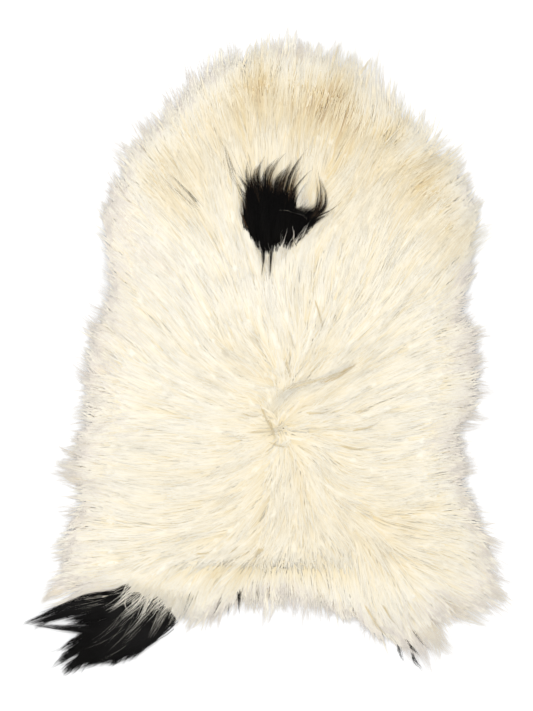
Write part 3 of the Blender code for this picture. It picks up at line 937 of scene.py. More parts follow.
# combed wool: roots scattered on a base, drawn together into locks
def combedWool():
    tree, given = newTree("combedWool", [
        ("Cover", "String", "creamCover"),
        ("Comb", "String", "comb"),
        ("Room", "String", "room"),
        ("Strands", "Float", 20000.0),        # to a square metre
        ("Locks", "Float", 4000.0),           # to a square metre
        ("Length", "Float", 0.085),
        ("Length Spread", "Float", 0.25),
        ("Lock Reach", "Float", 0.62),        # the shortest and longest shares of the room ahead
        ("Hair Reach", "Float", 0.70),
        ("Hair Beyond", "Float", 1.12),
        ("Lock Pull", "Float", 0.7),
        ("Lock Turn", "Float", 0.2),
        ("Stray", "Float", 0.003),
        ("Layers", "Float", 0.002),
        ("Shade Shift", "Float", 0.0),
        ("Shade Spread", "Float", 0.05),
        ("Golden", "Float", 6.0),             # in shade spreads
        ("Seed", "Int", 1),
    ] + strandSockets)
    base = given["Geometry"]
    normal = put(tree, "GeometryNodeInputNormal").outputs[0]
    facing = put(tree, "ShaderNodeSeparateXYZ", {0: normal}).outputs[2]
    upward = put(tree, "FunctionNodeCompare", {0: facing, 1: 0.0},
                 data_type="FLOAT", operation="GREATER_THAN").outputs[0]

    def seedOf(what):
        return maths(tree, "ADD", given["Seed"], seedShifts[what])

    def draw(what, low, high, which):
        return chance(tree, low, high, which, seedOf(what))

    def scatter(what, amount):
        density = maths(tree, "MULTIPLY", named(tree, given["Cover"]), amount)
        return put(tree, "GeometryNodeDistributePointsOnFaces",
                   {"Mesh": base, "Selection": upward, "Density": density, "Seed": seedOf(what)},
                   distribute_method="RANDOM").outputs[0]

    def onBase(value, spot, kind):
        return put(tree, "GeometryNodeSampleNearestSurface",
                   {"Mesh": base, "Value": value, "Sample Position": spot}, data_type=kind).outputs[0]

    locks = scatter("locks", given["Locks"])
    points = scatter("strands", given["Strands"])
    index = put(tree, "GeometryNodeInputIndex").outputs[0]
    here = put(tree, "GeometryNodeInputPosition").outputs[0]
    combing = named(tree, given["Comb"], "FLOAT_VECTOR")
    nearest = put(tree, "GeometryNodeSampleNearest", {"Geometry": locks}, domain="POINT").outputs[0]

    def ofLock(value):
        return put(tree, "GeometryNodeSampleIndex",
                   {"Geometry": locks, "Value": value, "Index": nearest},
                   data_type="FLOAT_VECTOR", domain="POINT").outputs[0]

    # length: by place, by strand and by lock, and never past the room ahead
    shortest = maths(tree, "SUBTRACT", 1.0, given["Length Spread"])
    length = maths(tree, "MULTIPLY", given["Length"], named(tree, "lengthShare"))
    length = maths(tree, "MULTIPLY", length, draw("length", shortest, 1.0, index))
    length = maths(tree, "MULTIPLY", length, draw("lockLength", *wander["lockLength"], nearest))
    room = maths(tree, "MULTIPLY", named(tree, given["Room"]),
                 draw("lockReach", given["Lock Reach"], 1.0, nearest))
    room = maths(tree, "MULTIPLY", room,
                 draw("hairReach", given["Hair Reach"], given["Hair Beyond"], index))
    half = maths(tree, "MULTIPLY", maths(tree, "MINIMUM", length, room), 0.5)

    def wayFrom(start, way, turn):
        # half the length as it is combed at the start, then half as it is combed there
        middle = moved(tree, start, turned(tree, way, turn), half)
        onward = turned(tree, onBase(combing, middle, "FLOAT_VECTOR"), turn)
        return middle, moved(tree, middle, onward, half)

    # the strand's own way, and the way of the lock that it belongs to
    ownTurn = draw("ownTurn", -wander["ownTurn"], wander["ownTurn"], index)
    lockTurn = maths(tree, "MULTIPLY", draw("lockTurn", -1.0, 1.0, nearest), given["Lock Turn"])
    ownBend, ownTip = wayFrom(here, combing, ownTurn)
    lockBend, lockTip = wayFrom(ofLock(here), ofLock(combing), lockTurn)
    stray = put(tree, "FunctionNodeRandomValue",
                {0: (-1, -1, 0), 1: (1, 1, 0), "ID": index, "Seed": seedOf("stray")},
                data_type="FLOAT_VECTOR").outputs[0]
    bendPull = maths(tree, "MULTIPLY", given["Lock Pull"], wander["bendPull"])
    stray = scaled(tree, stray, given["Stray"])
    bend = moved(tree, blended(tree, bendPull, ownBend, lockBend), stray, wander["bendStray"])
    tip = vectors(tree, "ADD", blended(tree, given["Lock Pull"], ownTip, lockTip), stray)

    # a strand takes the coat's tone where it grows, and the tone of the place where it ends
    lockShade = maths(tree, "MULTIPLY", draw("lockShade", -1.0, 1.0, nearest), wander["lockShade"])
    ownShade = maths(tree, "MULTIPLY", draw("ownShade", -1.0, 1.0, index), wander["ownShade"])
    golden = maths(tree, "POWER", draw("golden", 0.0, 1.0, index), wander["goldenPower"])
    golden = maths(tree, "MULTIPLY", golden, given["Golden"])
    jitter = maths(tree, "SUBTRACT", maths(tree, "ADD", lockShade, ownShade), golden)
    jitter = maths(tree, "MULTIPLY_ADD", jitter, given["Shade Spread"], given["Shade Shift"])
    coatShade = named(tree, "shade")
    tones = [maths(tree, "ADD", tone, jitter) for tone in (coatShade, onBase(coatShade, ownTip, "FLOAT"))]
    shade, tipShade = [put(tree, "ShaderNodeClamp", {0: tone, 1: shadeEnds[0], 2: shadeEnds[1]}).outputs[0]
                       for tone in tones]

    phase = maths(tree, "ADD", draw("lockPhase", 0.0, 1.0, nearest),
                  draw("ownPhase", -wander["ownPhase"], wander["ownPhase"], index))
    layer = maths(tree, "ADD", draw("lockLayer", -wander["lockLayer"], wander["lockLayer"], nearest),
                  draw("ownLayer", -wander["ownLayer"], wander["ownLayer"], index))
    layer = maths(tree, "MULTIPLY", given["Layers"], layer)
    girth = draw("girth", *wander["girth"], index)

    for label, value in (("root", here), ("bend", bend), ("tip", tip)):
        points = stored(tree, points, label, value, "FLOAT_VECTOR")
    for label, value in (("shade", shade), ("tipShade", tipShade), ("phase", phase), ("layer", layer),
                         ("girth", girth)):
        points = stored(tree, points, label, value)
    endWithStrands(tree, given, points)
    return tree


woolTree = combedWool()


def laidWool():
    # the same strands, from roots that are given one by one
    tree, given = newTree("laidWool", strandSockets)
    points = put(tree, "GeometryNodeMeshToPoints", {"Mesh": given["Geometry"]}).outputs[0]
    endWithStrands(tree, given, points)
    return tree


laidTree = laidWool()


def growPiece(name, base, tree, values):
    # the modifier works on a copy of the base, and only its result is kept
    carrier = placeInScene(name + "Carrier", base.data)
    modifier = carrier.modifiers.new("wool", "NODES")
    modifier.node_group = tree
    for item in tree.interface.items_tree:
        if item.in_out == "INPUT" and item.name in values:
            modifier[item.identifier] = values[item.name]
    seen = carrier.evaluated_get(bpy.context.evaluated_depsgraph_get())
    mesh = bpy.data.meshes.new_from_object(seen)
    carrier.modifiers.remove(modifier)
    bpy.data.objects.remove(carrier)
    mesh.name = name
    for attribute in [a.name for a in mesh.attributes if not a.is_required and not a.is_internal]:
        if attribute not in ("OFBake", "material_index", "sharp_face", "custom_normal"):
            mesh.attributes.remove(mesh.attributes[attribute])
    mesh.calc_loop_triangles()
    print(name, "has", len(mesh.loop_triangles), "triangles")
    return placeInScene(name, mesh)


palette = [
    (0.00, (0.0020, 0.0019, 0.0019)),
    (0.08, (0.0048, 0.0044, 0.0042)),
    (0.12, (0.018, 0.014, 0.011)),
    (0.17, (0.075, 0.045, 0.027)),
    (0.26, (0.41, 0.28, 0.15)),
    (0.36, (0.66, 0.53, 0.33)),
    (0.46, (0.73, 0.63, 0.425)),
    (0.56, (0.79, 0.705, 0.535)),
    (0.66, (0.83, 0.765, 0.615)),
    (0.76, (0.86, 0.81, 0.685)),
    (0.86, (0.87, 0.835, 0.735)),
    # 0.93 and 1.00 are greyer and darker: the rim's painted shade on a pinker tone
    (0.93, (0.82, 0.765, 0.685)),
    (1.00, (0.77, 0.715, 0.665)),
]


def paletteRamp(tree, value):
    ramp = put(tree, "ShaderNodeValToRGB", {0: value})
    marks = ramp.color_ramp.elements
    marks[0].position, marks[0].color = palette[0][0], (*palette[0][1], 1)
    marks[1].position, marks[1].color = palette[-1][0], (*palette[-1][1], 1)
    for position, colour in palette[1:-1]:
        marks.new(position).color = (*colour, 1)
    return ramp.outputs[0]


def newMaterial(name, finish):
    material = bpy.data.materials.new(name)
    material.use_nodes = True
    shader = material.node_tree.nodes["Principled BSDF"]
    for label, value in finish.items():
        shader.inputs[label].default_value = value
    return material, material.node_tree, shader


def noiseOn(tree, place, scale, detail):
    return put(tree, "ShaderNodeTexNoise", {"Vector": place, "Scale": scale, "Detail": detail}).outputs[0]


def mixedColour(tree, factor, first, second, blend="MIX"):
    return put(tree, "ShaderNodeMix", {0: factor, 6: first, 7: second},
               data_type="RGBA", blend_type=blend).outputs[2]


def finishWith(tree, shader, colour, height=None, strength=0.0, depth=0.0):
    tree.links.new(colour, shader.inputs["Base Color"])
    if height is not None:
        bump = put(tree, "ShaderNodeBump", {"Strength": strength, "Distance": depth, "Height": height})
        tree.links.new(bump.outputs[0], shader.inputs["Normal"])


woolLook = {
    "darkest": 0.02,           # shades that end in brown tips, the darkest most and others less
    "darkUpTo": 0.12,
    "tipPower": 5.0,
    "rootPower": 1.6,          # painted warm shade towards the roots, which lie low among the strands
    "rootPaintedShade": (0.96, 0.88, 0.70, 1),
}


def woolMaterial(name, finish, tipLift):
    material, tree, shader = newMaterial(name, finish)
    place = put(tree, "ShaderNodeUVMap", uv_map="OFBake").outputs[0]
    parts = put(tree, "ShaderNodeSeparateXYZ", {0: place}).outputs
    isDark = put(tree, "ShaderNodeMapRange",
                 {0: parts[0], 1: woolLook["darkUpTo"], 2: woolLook["darkest"]}).outputs[0]
    towardTip = maths(tree, "POWER", parts[1], woolLook["tipPower"])
    lift = maths(tree, "MULTIPLY", maths(tree, "MULTIPLY", isDark, towardTip), tipLift)
    colour = paletteRamp(tree, maths(tree, "ADD", parts[0], lift))
    # painted warm shade, strongest at the root and gone by the tip
    rootShade = maths(tree, "POWER", maths(tree, "SUBTRACT", 1.0, parts[1]), woolLook["rootPower"])
    finishWith(tree, shader, mixedColour(tree, rootShade, colour, woolLook["rootPaintedShade"], "MULTIPLY"))
    return material


underLook = {
    "fleckScale": 260.0,
    "fleckDetail": 3.0,
    "fleckShade": 0.16,
    # painted shade: how far down the palette the under-wool sits, as it shows in the gaps between strands
    "paintedGapShade": -0.18,           # than the strands over it
    "bump": 0.35,
    "bumpDepth": 0.002,
}


def underMaterial(name, finish):
    # the under-wool has the strands' own shades, set lower on the palette as painted shade where it shows
    # between strands, and flecked
    material, tree, shader = newMaterial(name, finish)
    place = put(tree, "ShaderNodeTexCoord").outputs["Object"]
    fleck = noiseOn(tree, place, underLook["fleckScale"], underLook["fleckDetail"])
    shade = put(tree, "ShaderNodeAttribute", attribute_name="shade").outputs["Fac"]
    # painted gap shade, with flecks
    paintedGapShade = maths(tree, "MULTIPLY_ADD", fleck, underLook["fleckShade"], underLook["paintedGapShade"])
    light = paletteRamp(tree, maths(tree, "ADD", shade, paintedGapShade))
    dark = put(tree, "ShaderNodeAttribute", attribute_name="dark").outputs["Fac"]
    colour = mixedColour(tree, dark, light, (*palette[0][1], 1))
    finishWith(tree, shader, colour, fleck, underLook["bump"], underLook["bumpDepth"])
    return material


suedeLook = {
    "broadScale": 9.0,
    "broadDetail": 5.0,
    "napScale": 900.0,
    "napDetail": 2.0,
    "napShare": 0.35,
    "broadShare": 0.65,
    "deep": (0.60, 0.47, 0.32, 1),
    "pale": (0.86, 0.77, 0.62, 1),
    "bump": 0.4,
    "bumpDepth": 0.0006,
}


def suede(name, finish):
    material, tree, shader = newMaterial(name, finish)
    place = put(tree, "ShaderNodeTexCoord").outputs["Object"]
    broad = noiseOn(tree, place, suedeLook["broadScale"], suedeLook["broadDetail"])
    nap = noiseOn(tree, place, suedeLook["napScale"], suedeLook["napDetail"])
    tone = maths(tree, "MULTIPLY_ADD", nap, suedeLook["napShare"],
                 maths(tree, "MULTIPLY", broad, suedeLook["broadShare"]))
    colour = mixedColour(tree, tone, suedeLook["deep"], suedeLook["pale"])
    finishWith(tree, shader, colour, tone, suedeLook["bump"], suedeLook["bumpDepth"])
    return material


wool = woolMaterial("creamWool", {
    "Roughness": 0.65, "Sheen Weight": 0.1, "Specular IOR Level": 0.25}, 0.0)
darkWool = woolMaterial("darkWool", {"Roughness": 0.5, "Specular IOR Level": 0.02}, 0.22)
blackWool = woolMaterial("blackWool", {"Roughness": 0.36, "Specular IOR Level": 0.10}, 0.02)
crownWool = woolMaterial("crownWool", {"Roughness": 0.5, "Specular IOR Level": 0.03}, 0.04)
underWoolMaterial = underMaterial("underWool", {"Roughness": 0.85, "Specular IOR Level": 0.1})
hideMaterial = suede("tannedHide", {"Roughness": 0.9})
fleeceBase.data.materials.append(underWoolMaterial)
tuftBase.data.materials.append(underWoolMaterial)
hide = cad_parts["hide"]
hide.data.materials.clear()
hide.data.materials.append(hideMaterial)

quickShare = 1.0    # of the strands, while looks are tried out

layers = {
    # lower layers have a lower Shade Shift: painted warm shade where they show between the strands above
    # them
    "lower_wool": (fleeceBase, wool, {
        "Cover": "creamCover", "Strands": 11500.0, "Locks": 1500.0, "Length": 0.105,
        "Length Spread": 0.3, "Lock Pull": 0.5, "Lock Turn": 0.14, "Stray": 0.004, "Layers": 0.0002,
        "Shade Shift": -0.10, "Shade Spread": 0.014, "Golden": 3.5, "Seed": 11, "Width": 0.0032,
        "Root Lift": -0.001, "Tip Lift": 0.0004, "Wave Height": 0.004, "Waves": 1.0,
    }),
    "middle_wool": (fleeceBase, wool, {
        "Cover": "creamCover", "Strands": 11500.0, "Locks": 1300.0, "Length": 0.115,
        "Length Spread": 0.3, "Lock Pull": 0.6, "Lock Turn": 0.15, "Stray": 0.004, "Layers": 0.00025,
        "Shade Shift": -0.02, "Shade Spread": 0.014, "Golden": 4.5, "Seed": 23, "Width": 0.0022,
        "Root Lift": -0.001, "Tip Lift": 0.0006, "Wave Height": 0.004, "Waves": 1.1,
    }),
    "upper_wool": (fleeceBase, wool, {
        "Cover": "creamCover", "Strands": 11500.0, "Locks": 1000.0, "Length": 0.120,
        "Length Spread": 0.35, "Lock Pull": 0.7, "Lock Turn": 0.16, "Stray": 0.005, "Layers": 0.0003,
        "Shade Shift": 0.02, "Shade Spread": 0.016, "Golden": 5.0, "Seed": 37, "Width": 0.0014,
        "Root Lift": -0.001, "Tip Lift": 0.0008, "Wave Height": 0.0045, "Waves": 1.2,
    }),
    "rim_wool": (fleeceBase, wool, {
        "Cover": "rimCover", "Strands": 36000.0, "Locks": 2200.0, "Length": 0.085,
        "Length Spread": 0.4, "Lock Pull": 0.75, "Lock Turn": 0.3, "Stray": 0.004, "Layers": 0.0008,
        "Lock Reach": 0.45, "Hair Reach": 0.5, "Hair Beyond": 1.1,
        "Shade Shift": 0.02, "Shade Spread": 0.02, "Golden": 2.0, "Seed": 41, "Width": 0.0013,
        "Root Lift": -0.003, "Tip Lift": 0.002, "Wave Height": 0.004, "Waves": 1.0,
    }),
    "rim_wisps": (fleeceBase, wool, {
        "Cover": "rimCover", "Strands": 40000.0, "Locks": 1200.0, "Length": 0.110,
        "Length Spread": 0.4, "Lock Pull": 0.5, "Lock Turn": 0.45, "Stray": 0.008, "Layers": 0.0010,
        "Lock Reach": 0.6, "Hair Reach": 0.8, "Hair Beyond": 1.8,
        "Shade Shift": 0.05, "Shade Spread": 0.04, "Golden": 0.0, "Seed": 47, "Width": 0.0005,
        "Root Lift": -0.003, "Tip Lift": 0.001, "Wave Height": 0.005, "Waves": 0.9,
    }),
    "crown_locks": (fleeceBase, crownWool, {
        "Cover": "crownCover", "Comb": "crownComb", "Room": "crownRoom",
        "Strands": 360000.0, "Locks": 16000.0, "Length": 0.070,
        "Lock Reach": 0.8, "Hair Reach": 0.8, "Hair Beyond": 1.5,
        "Length Spread": 0.4, "Lock Pull": 0.5, "Lock Turn": 0.20, "Stray": 0.003, "Layers": 0.003,
        "Shade Shift": -0.8, "Shade Spread": 0.02, "Golden": 0.0, "Seed": 53, "Width": 0.0011,
        "Root Lift": 0.001, "Tip Lift": 0.0065, "Wave Height": 0.002, "Waves": 0.8, "Softness": 0.6,
    }),
    "crown_fan": (fleeceBase, darkWool, {
        "Cover": "fanCover", "Comb": "crownComb", "Room": "fanRoom",
        "Strands": 300000.0, "Locks": 9000.0, "Length": 0.075,
        "Lock Reach": 0.6, "Hair Reach": 0.6, "Hair Beyond": 1.15,
        "Length Spread": 0.4, "Lock Pull": 0.9, "Lock Turn": 0.25, "Stray": 0.0015, "Layers": 0.002,
        "Shade Shift": -0.74, "Shade Spread": 0.04, "Golden": 0.0, "Seed": 59, "Width": 0.0006,
        "Root Lift": 0.002, "Tip Lift": 0.0075, "Wave Height": 0.003, "Waves": 0.8, "Softness": 0.6,
    }),
    "dark_tuft_locks": (tuftBase, blackWool, {
        "Cover": "tuftCover", "Strands": 150000.0, "Locks": 5000.0, "Length": 0.070,
        "Length Spread": 0.40, "Lock Pull": 0.7, "Lock Turn": 0.2, "Stray": 0.004, "Layers": 0.003,
        "Shade Shift": 0.0, "Shade Spread": 0.035, "Golden": 0.0, "Seed": 67, "Width": 0.0013,
        "Root Lift": -0.002, "Tip Lift": 0.003, "Wave Height": 0.004, "Waves": 1.2, "Softness": 0.5,
        "Flatness": 0.5, "Levelling": 0.0,
    }),
}

pieces = {}
for name, (base, fibre, values) in layers.items():
    settings = {"Drape": drape, "Material": fibre, "Flatness": 0.14, "Points": 5, "Softness": 0.95, **values}
    settings["Strands"] = values["Strands"] * quickShare
    pieces[name] = growPiece(name, base, woolTree, settings)

# Single locks laid one by one where the photograph has one of its own, in its pixels: where it starts,
# a place that it passes, where it ends, then how many hairs, the spread and the hairs' width in
# millimetres, and the shade.
laidLocks = {
    "crown_wisps": (darkWool, {
        "Root Lift": 0.0025, "Tip Lift": 0.0085, "Softness": 0.6, "Wave Height": 0.003,
    }, [
        ((256, 196), (246, 186), (236, 173), 20, 6.0, 0.6, 0.09),
        ((250, 200), (242, 193), (235, 182), 14, 6.0, 0.6, 0.10),
        ((249, 206), (244, 200), (240, 191), 12, 5.0, 0.6, 0.10),
        ((258, 196), (248, 182), (247, 162), 26, 6.0, 0.55, 0.08),
        ((260, 195), (254, 180), (258, 164), 26, 7.0, 0.55, 0.08),
        ((264, 195), (258, 175), (268, 154), 30, 7.0, 0.55, 0.07),
        ((268, 196), (266, 175), (279, 157), 30, 7.0, 0.55, 0.08),
        ((273, 198), (270, 176), (287, 152), 34, 7.0, 0.55, 0.07),
        ((277, 199), (277, 180), (291, 164), 30, 7.0, 0.55, 0.08),
        ((281, 200), (284, 178), (296, 157), 34, 7.0, 0.55, 0.07),
        ((287, 204), (289, 180), (308, 147), 34, 5.0, 0.55, 0.06),
        ((289, 205), (292, 184), (302, 162), 26, 5.0, 0.55, 0.08),
        ((292, 208), (294, 190), (313, 170), 26, 4.0, 0.5, 0.07),
        ((296, 211), (298, 196), (310, 180), 12, 3.0, 0.45, 0.09),
        ((300, 217), (316, 208), (314, 169), 26, 4.0, 0.5, 0.06),
        ((302, 218), (320, 206), (318, 166), 40, 6.0, 0.5, 0.05),
        ((303, 219), (324, 207), (320, 178), 44, 6.0, 0.5, 0.05),
        ((298, 220), (312, 217), (321, 203), 50, 6.0, 0.9, 0.04),
        ((304, 221), (320, 216), (341, 203), 18, 2.0, 0.6, 0.07),
        ((264, 199), (262, 182), (271, 163), 20, 7.0, 0.42, 0.13),
        ((272, 201), (272, 184), (283, 165), 20, 7.0, 0.42, 0.13),
        ((280, 203), (281, 186), (292, 169), 20, 7.0, 0.42, 0.13),
        ((256, 199), (251, 184), (252, 168), 16, 7.0, 0.42, 0.14),
        ((288, 207), (291, 192), (303, 173), 16, 6.0, 0.42, 0.15),
        ((248, 216), (243, 205), (237, 195), 14, 5.0, 0.42, 0.14),
        ((247, 228), (242, 216), (240, 206), 10, 5.0, 0.42, 0.15),
        ((262, 236), (263, 260), (262, 279), 30, 4.6, 0.5, 0.05),
        ((271, 236), (271, 260), (269, 280), 30, 4.2, 0.5, 0.05),
        ((286, 234), (286, 246), (284, 256), 14, 12.0, 0.3, 0.07),
        ((276, 238), (276, 248), (275, 257), 8, 5.0, 0.3, 0.07),
        ((252, 232), (256, 244), (258, 256), 8, 5.0, 0.3, 0.07),
        ((262, 190), (256, 176), (262, 164), 8, 9.0, 0.45, 0.24),
        ((272, 192), (270, 176), (284, 160), 10, 9.0, 0.45, 0.26),
        ((281, 194), (284, 178), (295, 164), 10, 9.0, 0.45, 0.24),
        ((289, 202), (293, 184), (306, 168), 10, 6.0, 0.45, 0.26),
        ((312, 212), (321, 203), (319, 182), 8, 6.0, 0.4, 0.22),
    ]),
    "pale_wisps": (wool, {
        "Root Lift": 0.0028, "Tip Lift": 0.0095, "Softness": 0.9, "Levelling": 0.8,
        "Wave Height": 0.0012, "Flatness": 0.2,
    }, [
        ((303, 212), (300, 199), (311, 175), 70, 11.0, 0.35, 0.84),
        ((305, 212), (305, 202), (309, 190), 40, 12.0, 0.35, 0.92),
        ((281, 250), (284, 240), (288, 226), 6, 1.6, 0.35, 0.92),
        ((292, 243), (294, 234), (291, 224), 6, 1.6, 0.35, 0.92),
        ((286, 256), (289, 246), (294, 236), 8, 7.0, 0.25, 0.90),
        ((268, 264), (267, 252), (266, 240), 5, 10.0, 0.35, 0.86),
        ((277, 264), (277, 251), (278, 238), 6, 9.0, 0.35, 0.86),
        ((256, 252), (252, 242), (248, 228), 8, 6.0, 0.25, 0.86),
        ((263, 260), (260, 250), (258, 240), 7, 5.0, 0.25, 0.86),
        ((273, 264), (273, 254), (273, 244), 7, 6.0, 0.25, 0.86),
        ((300, 242), (304, 232), (310, 221), 8, 6.0, 0.3, 0.88),
        ((294, 246), (298, 238), (302, 230), 7, 6.0, 0.25, 0.90),
        ((306, 224), (303, 216), (290, 213), 2, 0.8, 0.14, 0.84),
        ((296, 214), (286, 211), (272, 211), 2, 0.8, 0.10, 0.70),
        ((264, 262), (260, 248), (256, 232), 3, 12.0, 0.2, 0.84),
        ((286, 256), (284, 244), (282, 230), 5, 16.0, 0.2, 0.84),
    ]),
    "tuft_wisps": (blackWool, {
        "Root Lift": 0.0021, "Tip Lift": 0.0070, "Softness": 0.5, "Wave Height": 0.005,
    }, [
        ((128, 590), (100, 602), (62, 608), 60, 9.0, 1.0, 0.04),
        ((112, 594), (84, 598), (36, 614), 30, 3.5, 0.7, 0.05),
        ((100, 603), (62, 609), (19, 626), 110, 10.0, 1.0, 0.04),
        ((140, 600), (86, 609), (26, 627), 110, 12.0, 1.1, 0.04),
        ((90, 608), (58, 617), (24, 625), 60, 8.0, 0.9, 0.05),
        ((74, 612), (50, 620), (30, 631), 30, 6.0, 0.7, 0.06),
        ((150, 606), (92, 611), (36, 622), 90, 9.0, 1.1, 0.04),
        ((132, 607), (100, 613), (66, 618), 60, 7.0, 1.0, 0.04),
        ((130, 634), (82, 631), (28, 624), 90, 9.0, 0.8, 0.04),
        ((118, 632), (80, 630), (40, 627), 60, 6.0, 0.8, 0.04),
        ((130, 620), (98, 624), (64, 624), 70, 9.0, 0.9, 0.04),
        ((112, 614), (86, 618), (60, 621), 50, 6.0, 0.9, 0.04),
        ((140, 610), (102, 616), (60, 623), 60, 9.0, 0.9, 0.04),
        ((160, 624), (104, 634), (66, 641), 50, 8.0, 0.8, 0.05),
        ((150, 628), (96, 642), (44, 657), 26, 14.0, 0.5, 0.06),
        ((165, 614), (112, 632), (37, 654), 30, 15.0, 0.5, 0.06),
        ((150, 614), (112, 632), (60, 652), 60, 16.0, 1.0, 0.04),
        ((170, 616), (118, 644), (50, 668), 60, 16.0, 0.8, 0.04),
        ((170, 618), (124, 648), (66, 674), 70, 14.0, 0.8, 0.04),
        ((172, 620), (138, 646), (85, 670), 60, 12.0, 0.8, 0.04),
        ((172, 620), (146, 645), (108, 667), 60, 9.0, 0.8, 0.04),
        ((172, 621), (154, 641), (130, 663), 44, 4.0, 0.8, 0.05),
        ((162, 608), (140, 620), (110, 634), 60, 20.0, 1.0, 0.05),
        ((150, 603), (130, 612), (100, 622), 60, 14.0, 1.0, 0.05),
        ((126, 586), (110, 592), (88, 598), 16, 5.0, 0.4, 0.08),
    ]),
    "leg_hairs": (darkWool, {
        "Root Lift": -0.0010, "Tip Lift": 0.0045, "Softness": 0.6, "Wave Height": 0.002,
    }, [
        ((407, 640), (413, 650), (422, 658), 14, 5.0, 0.5, 0.06),
        ((399, 646), (402, 656), (407, 666), 10, 4.0, 0.5, 0.07),
        ((413, 655), (418, 665), (427, 675), 12, 5.0, 0.5, 0.07),
        ((412, 629), (425, 646), (441, 659), 4, 2.5, 0.4, 0.12),
        ((239, 592), (239, 601), (238, 612), 26, 4.5, 0.45, 0.07),
        ((238, 600), (239, 610), (238, 619), 4, 1.0, 0.3, 0.07),
        ((222, 598), (216, 610), (206, 623), 8, 4.0, 0.3, 0.08),
        ((229, 604), (228, 612), (227, 621), 4, 2.0, 0.3, 0.08),
        ((257, 590), (258, 597), (258, 606), 6, 3.0, 0.3, 0.08),
        ((192, 594), (186, 608), (180, 622), 14, 7.0, 0.3, 0.08),
        ((204, 210), (182, 186), (160, 168), 7, 4.0, 0.3, 0.08),
        ((198, 212), (176, 190), (160, 176), 5, 8.0, 0.22, 0.08),
        ((236, 176), (228, 156), (222, 134), 12, 26.0, 0.18, 0.08),
        ((244, 190), (232, 172), (224, 150), 10, 20.0, 0.18, 0.08),
        ((299, 284), (299, 272), (298, 258), 3, 1.0, 0.3, 0.12),
    ]),
    "tuft_cover": (wool, {
        "Root Lift": -0.0015, "Tip Lift": 0.0110, "Rise": 1.3, "Softness": 0.95, "Levelling": 0.9,
        "Wave Height": 0.004, "Flatness": 0.15,
    }, [
        ((140, 582), (118, 594), (60, 611), 6, 5.0, 0.3, 0.84),
        ((142, 578), (128, 594), (106, 610), 22, 17.0, 1.0, 0.84),
        ((142, 580), (126, 598), (98, 614), 16, 18.0, 0.35, 0.84),
        ((150, 580), (140, 598), (120, 618), 16, 15.0, 1.0, 0.84),
        ((152, 582), (140, 604), (112, 630), 16, 20.0, 0.35, 0.84),
        ((158, 582), (150, 602), (134, 624), 20, 14.0, 0.9, 0.84),
        ((160, 584), (148, 610), (124, 638), 18, 18.0, 0.35, 0.84),
        ((166, 584), (158, 604), (146, 622), 14, 14.0, 0.9, 0.84),
        ((174, 586), (168, 606), (156, 624), 14, 13.0, 0.8, 0.84),
        ((172, 588), (164, 612), (150, 640), 20, 22.0, 0.35, 0.84),
        ((182, 588), (178, 606), (166, 622), 14, 12.0, 0.8, 0.84),
        ((184, 590), (178, 612), (164, 634), 18, 16.0, 0.35, 0.84),
        ((190, 590), (188, 606), (180, 620), 20, 9.0, 0.6, 0.84),
        ((146, 586), (122, 614), (82, 646), 2, 1.0, 0.25, 0.84),
        ((150, 594), (156, 620), (140, 641), 3, 1.6, 0.3, 0.84),
        ((168, 596), (175, 614), (162, 634), 4, 4.0, 0.3, 0.84),
        ((138, 586), (124, 604), (138, 616), 7, 3.0, 0.35, 0.84),
        ((146, 588), (132, 604), (142, 613), 6, 3.0, 0.35, 0.84),
        ((132, 588), (106, 604), (66, 614), 6, 12.0, 0.2, 0.84),
        ((140, 600), (116, 624), (80, 652), 8, 30.0, 0.15, 0.84),
        ((158, 610), (132, 634), (92, 662), 9, 34.0, 0.15, 0.84),
    ]),
    # mostly golden lines along the furrows between locks, which are painted shade; a few tan patches; and,
    # last, two pale locks over the raised fold
    "coat_lines": (wool, {
        "Root Lift": -0.0005, "Tip Lift": 0.0030, "Softness": 0.95, "Levelling": 0.7,
        "Wave Height": 0.002, "Flatness": 0.15,
    }, [
        ((284, 389), (318, 380), (348, 368), 46, 4.0, 0.7, 0.46),
        ((316, 383), (338, 376), (357, 363), 30, 3.0, 0.7, 0.40),
        ((342, 372), (349, 368), (356, 364), 30, 3.0, 0.7, 0.38),
        ((262, 408), (267, 420), (273, 432), 16, 3.0, 0.5, 0.46),
        ((269, 420), (273, 432), (275, 444), 14, 3.0, 0.5, 0.44),
        ((248, 432), (268, 431), (289, 428), 16, 2.0, 0.5, 0.52),
        ((272, 443), (280, 446), (289, 447), 14, 2.0, 0.5, 0.48),
        ((224, 346), (228, 357), (238, 368), 10, 14.0, 0.4, 0.60),
        ((249, 332), (258, 341), (270, 350), 10, 12.0, 0.4, 0.60),
        ((243, 413), (252, 416), (265, 415), 12, 2.0, 0.5, 0.50),
        ((200, 379), (218, 387), (236, 398), 7, 12.0, 0.4, 0.60),
        ((358, 412), (364, 410), (371, 407), 18, 3.0, 0.6, 0.54),
        ((353, 429), (366, 428), (380, 420), 14, 2.0, 0.5, 0.48),
        ((342, 445), (358, 449), (377, 444), 16, 2.0, 0.5, 0.48),
        ((308, 412), (324, 412), (342, 403), 14, 2.0, 0.5, 0.52),
        ((288, 331), (292, 341), (296, 352), 12, 2.0, 0.5, 0.56),
        ((315, 300), (320, 318), (325, 334), 12, 1.5, 0.45, 0.46),
        ((286, 360), (289, 372), (292, 380), 8, 3.0, 0.4, 0.50),
        ((195, 553), (208, 552), (217, 543), 10, 2.0, 0.5, 0.46),
        ((230, 552), (236, 548), (243, 542), 10, 2.0, 0.5, 0.46),
        ((262, 548), (258, 553), (252, 558), 20, 4.0, 0.6, 0.44),
        ((366, 606), (376, 624), (390, 640), 24, 2.5, 0.6, 0.50),
        ((384, 606), (390, 617), (399, 628), 14, 2.0, 0.5, 0.52),
        ((381, 550), (385, 558), (391, 566), 10, 1.5, 0.4, 0.60),
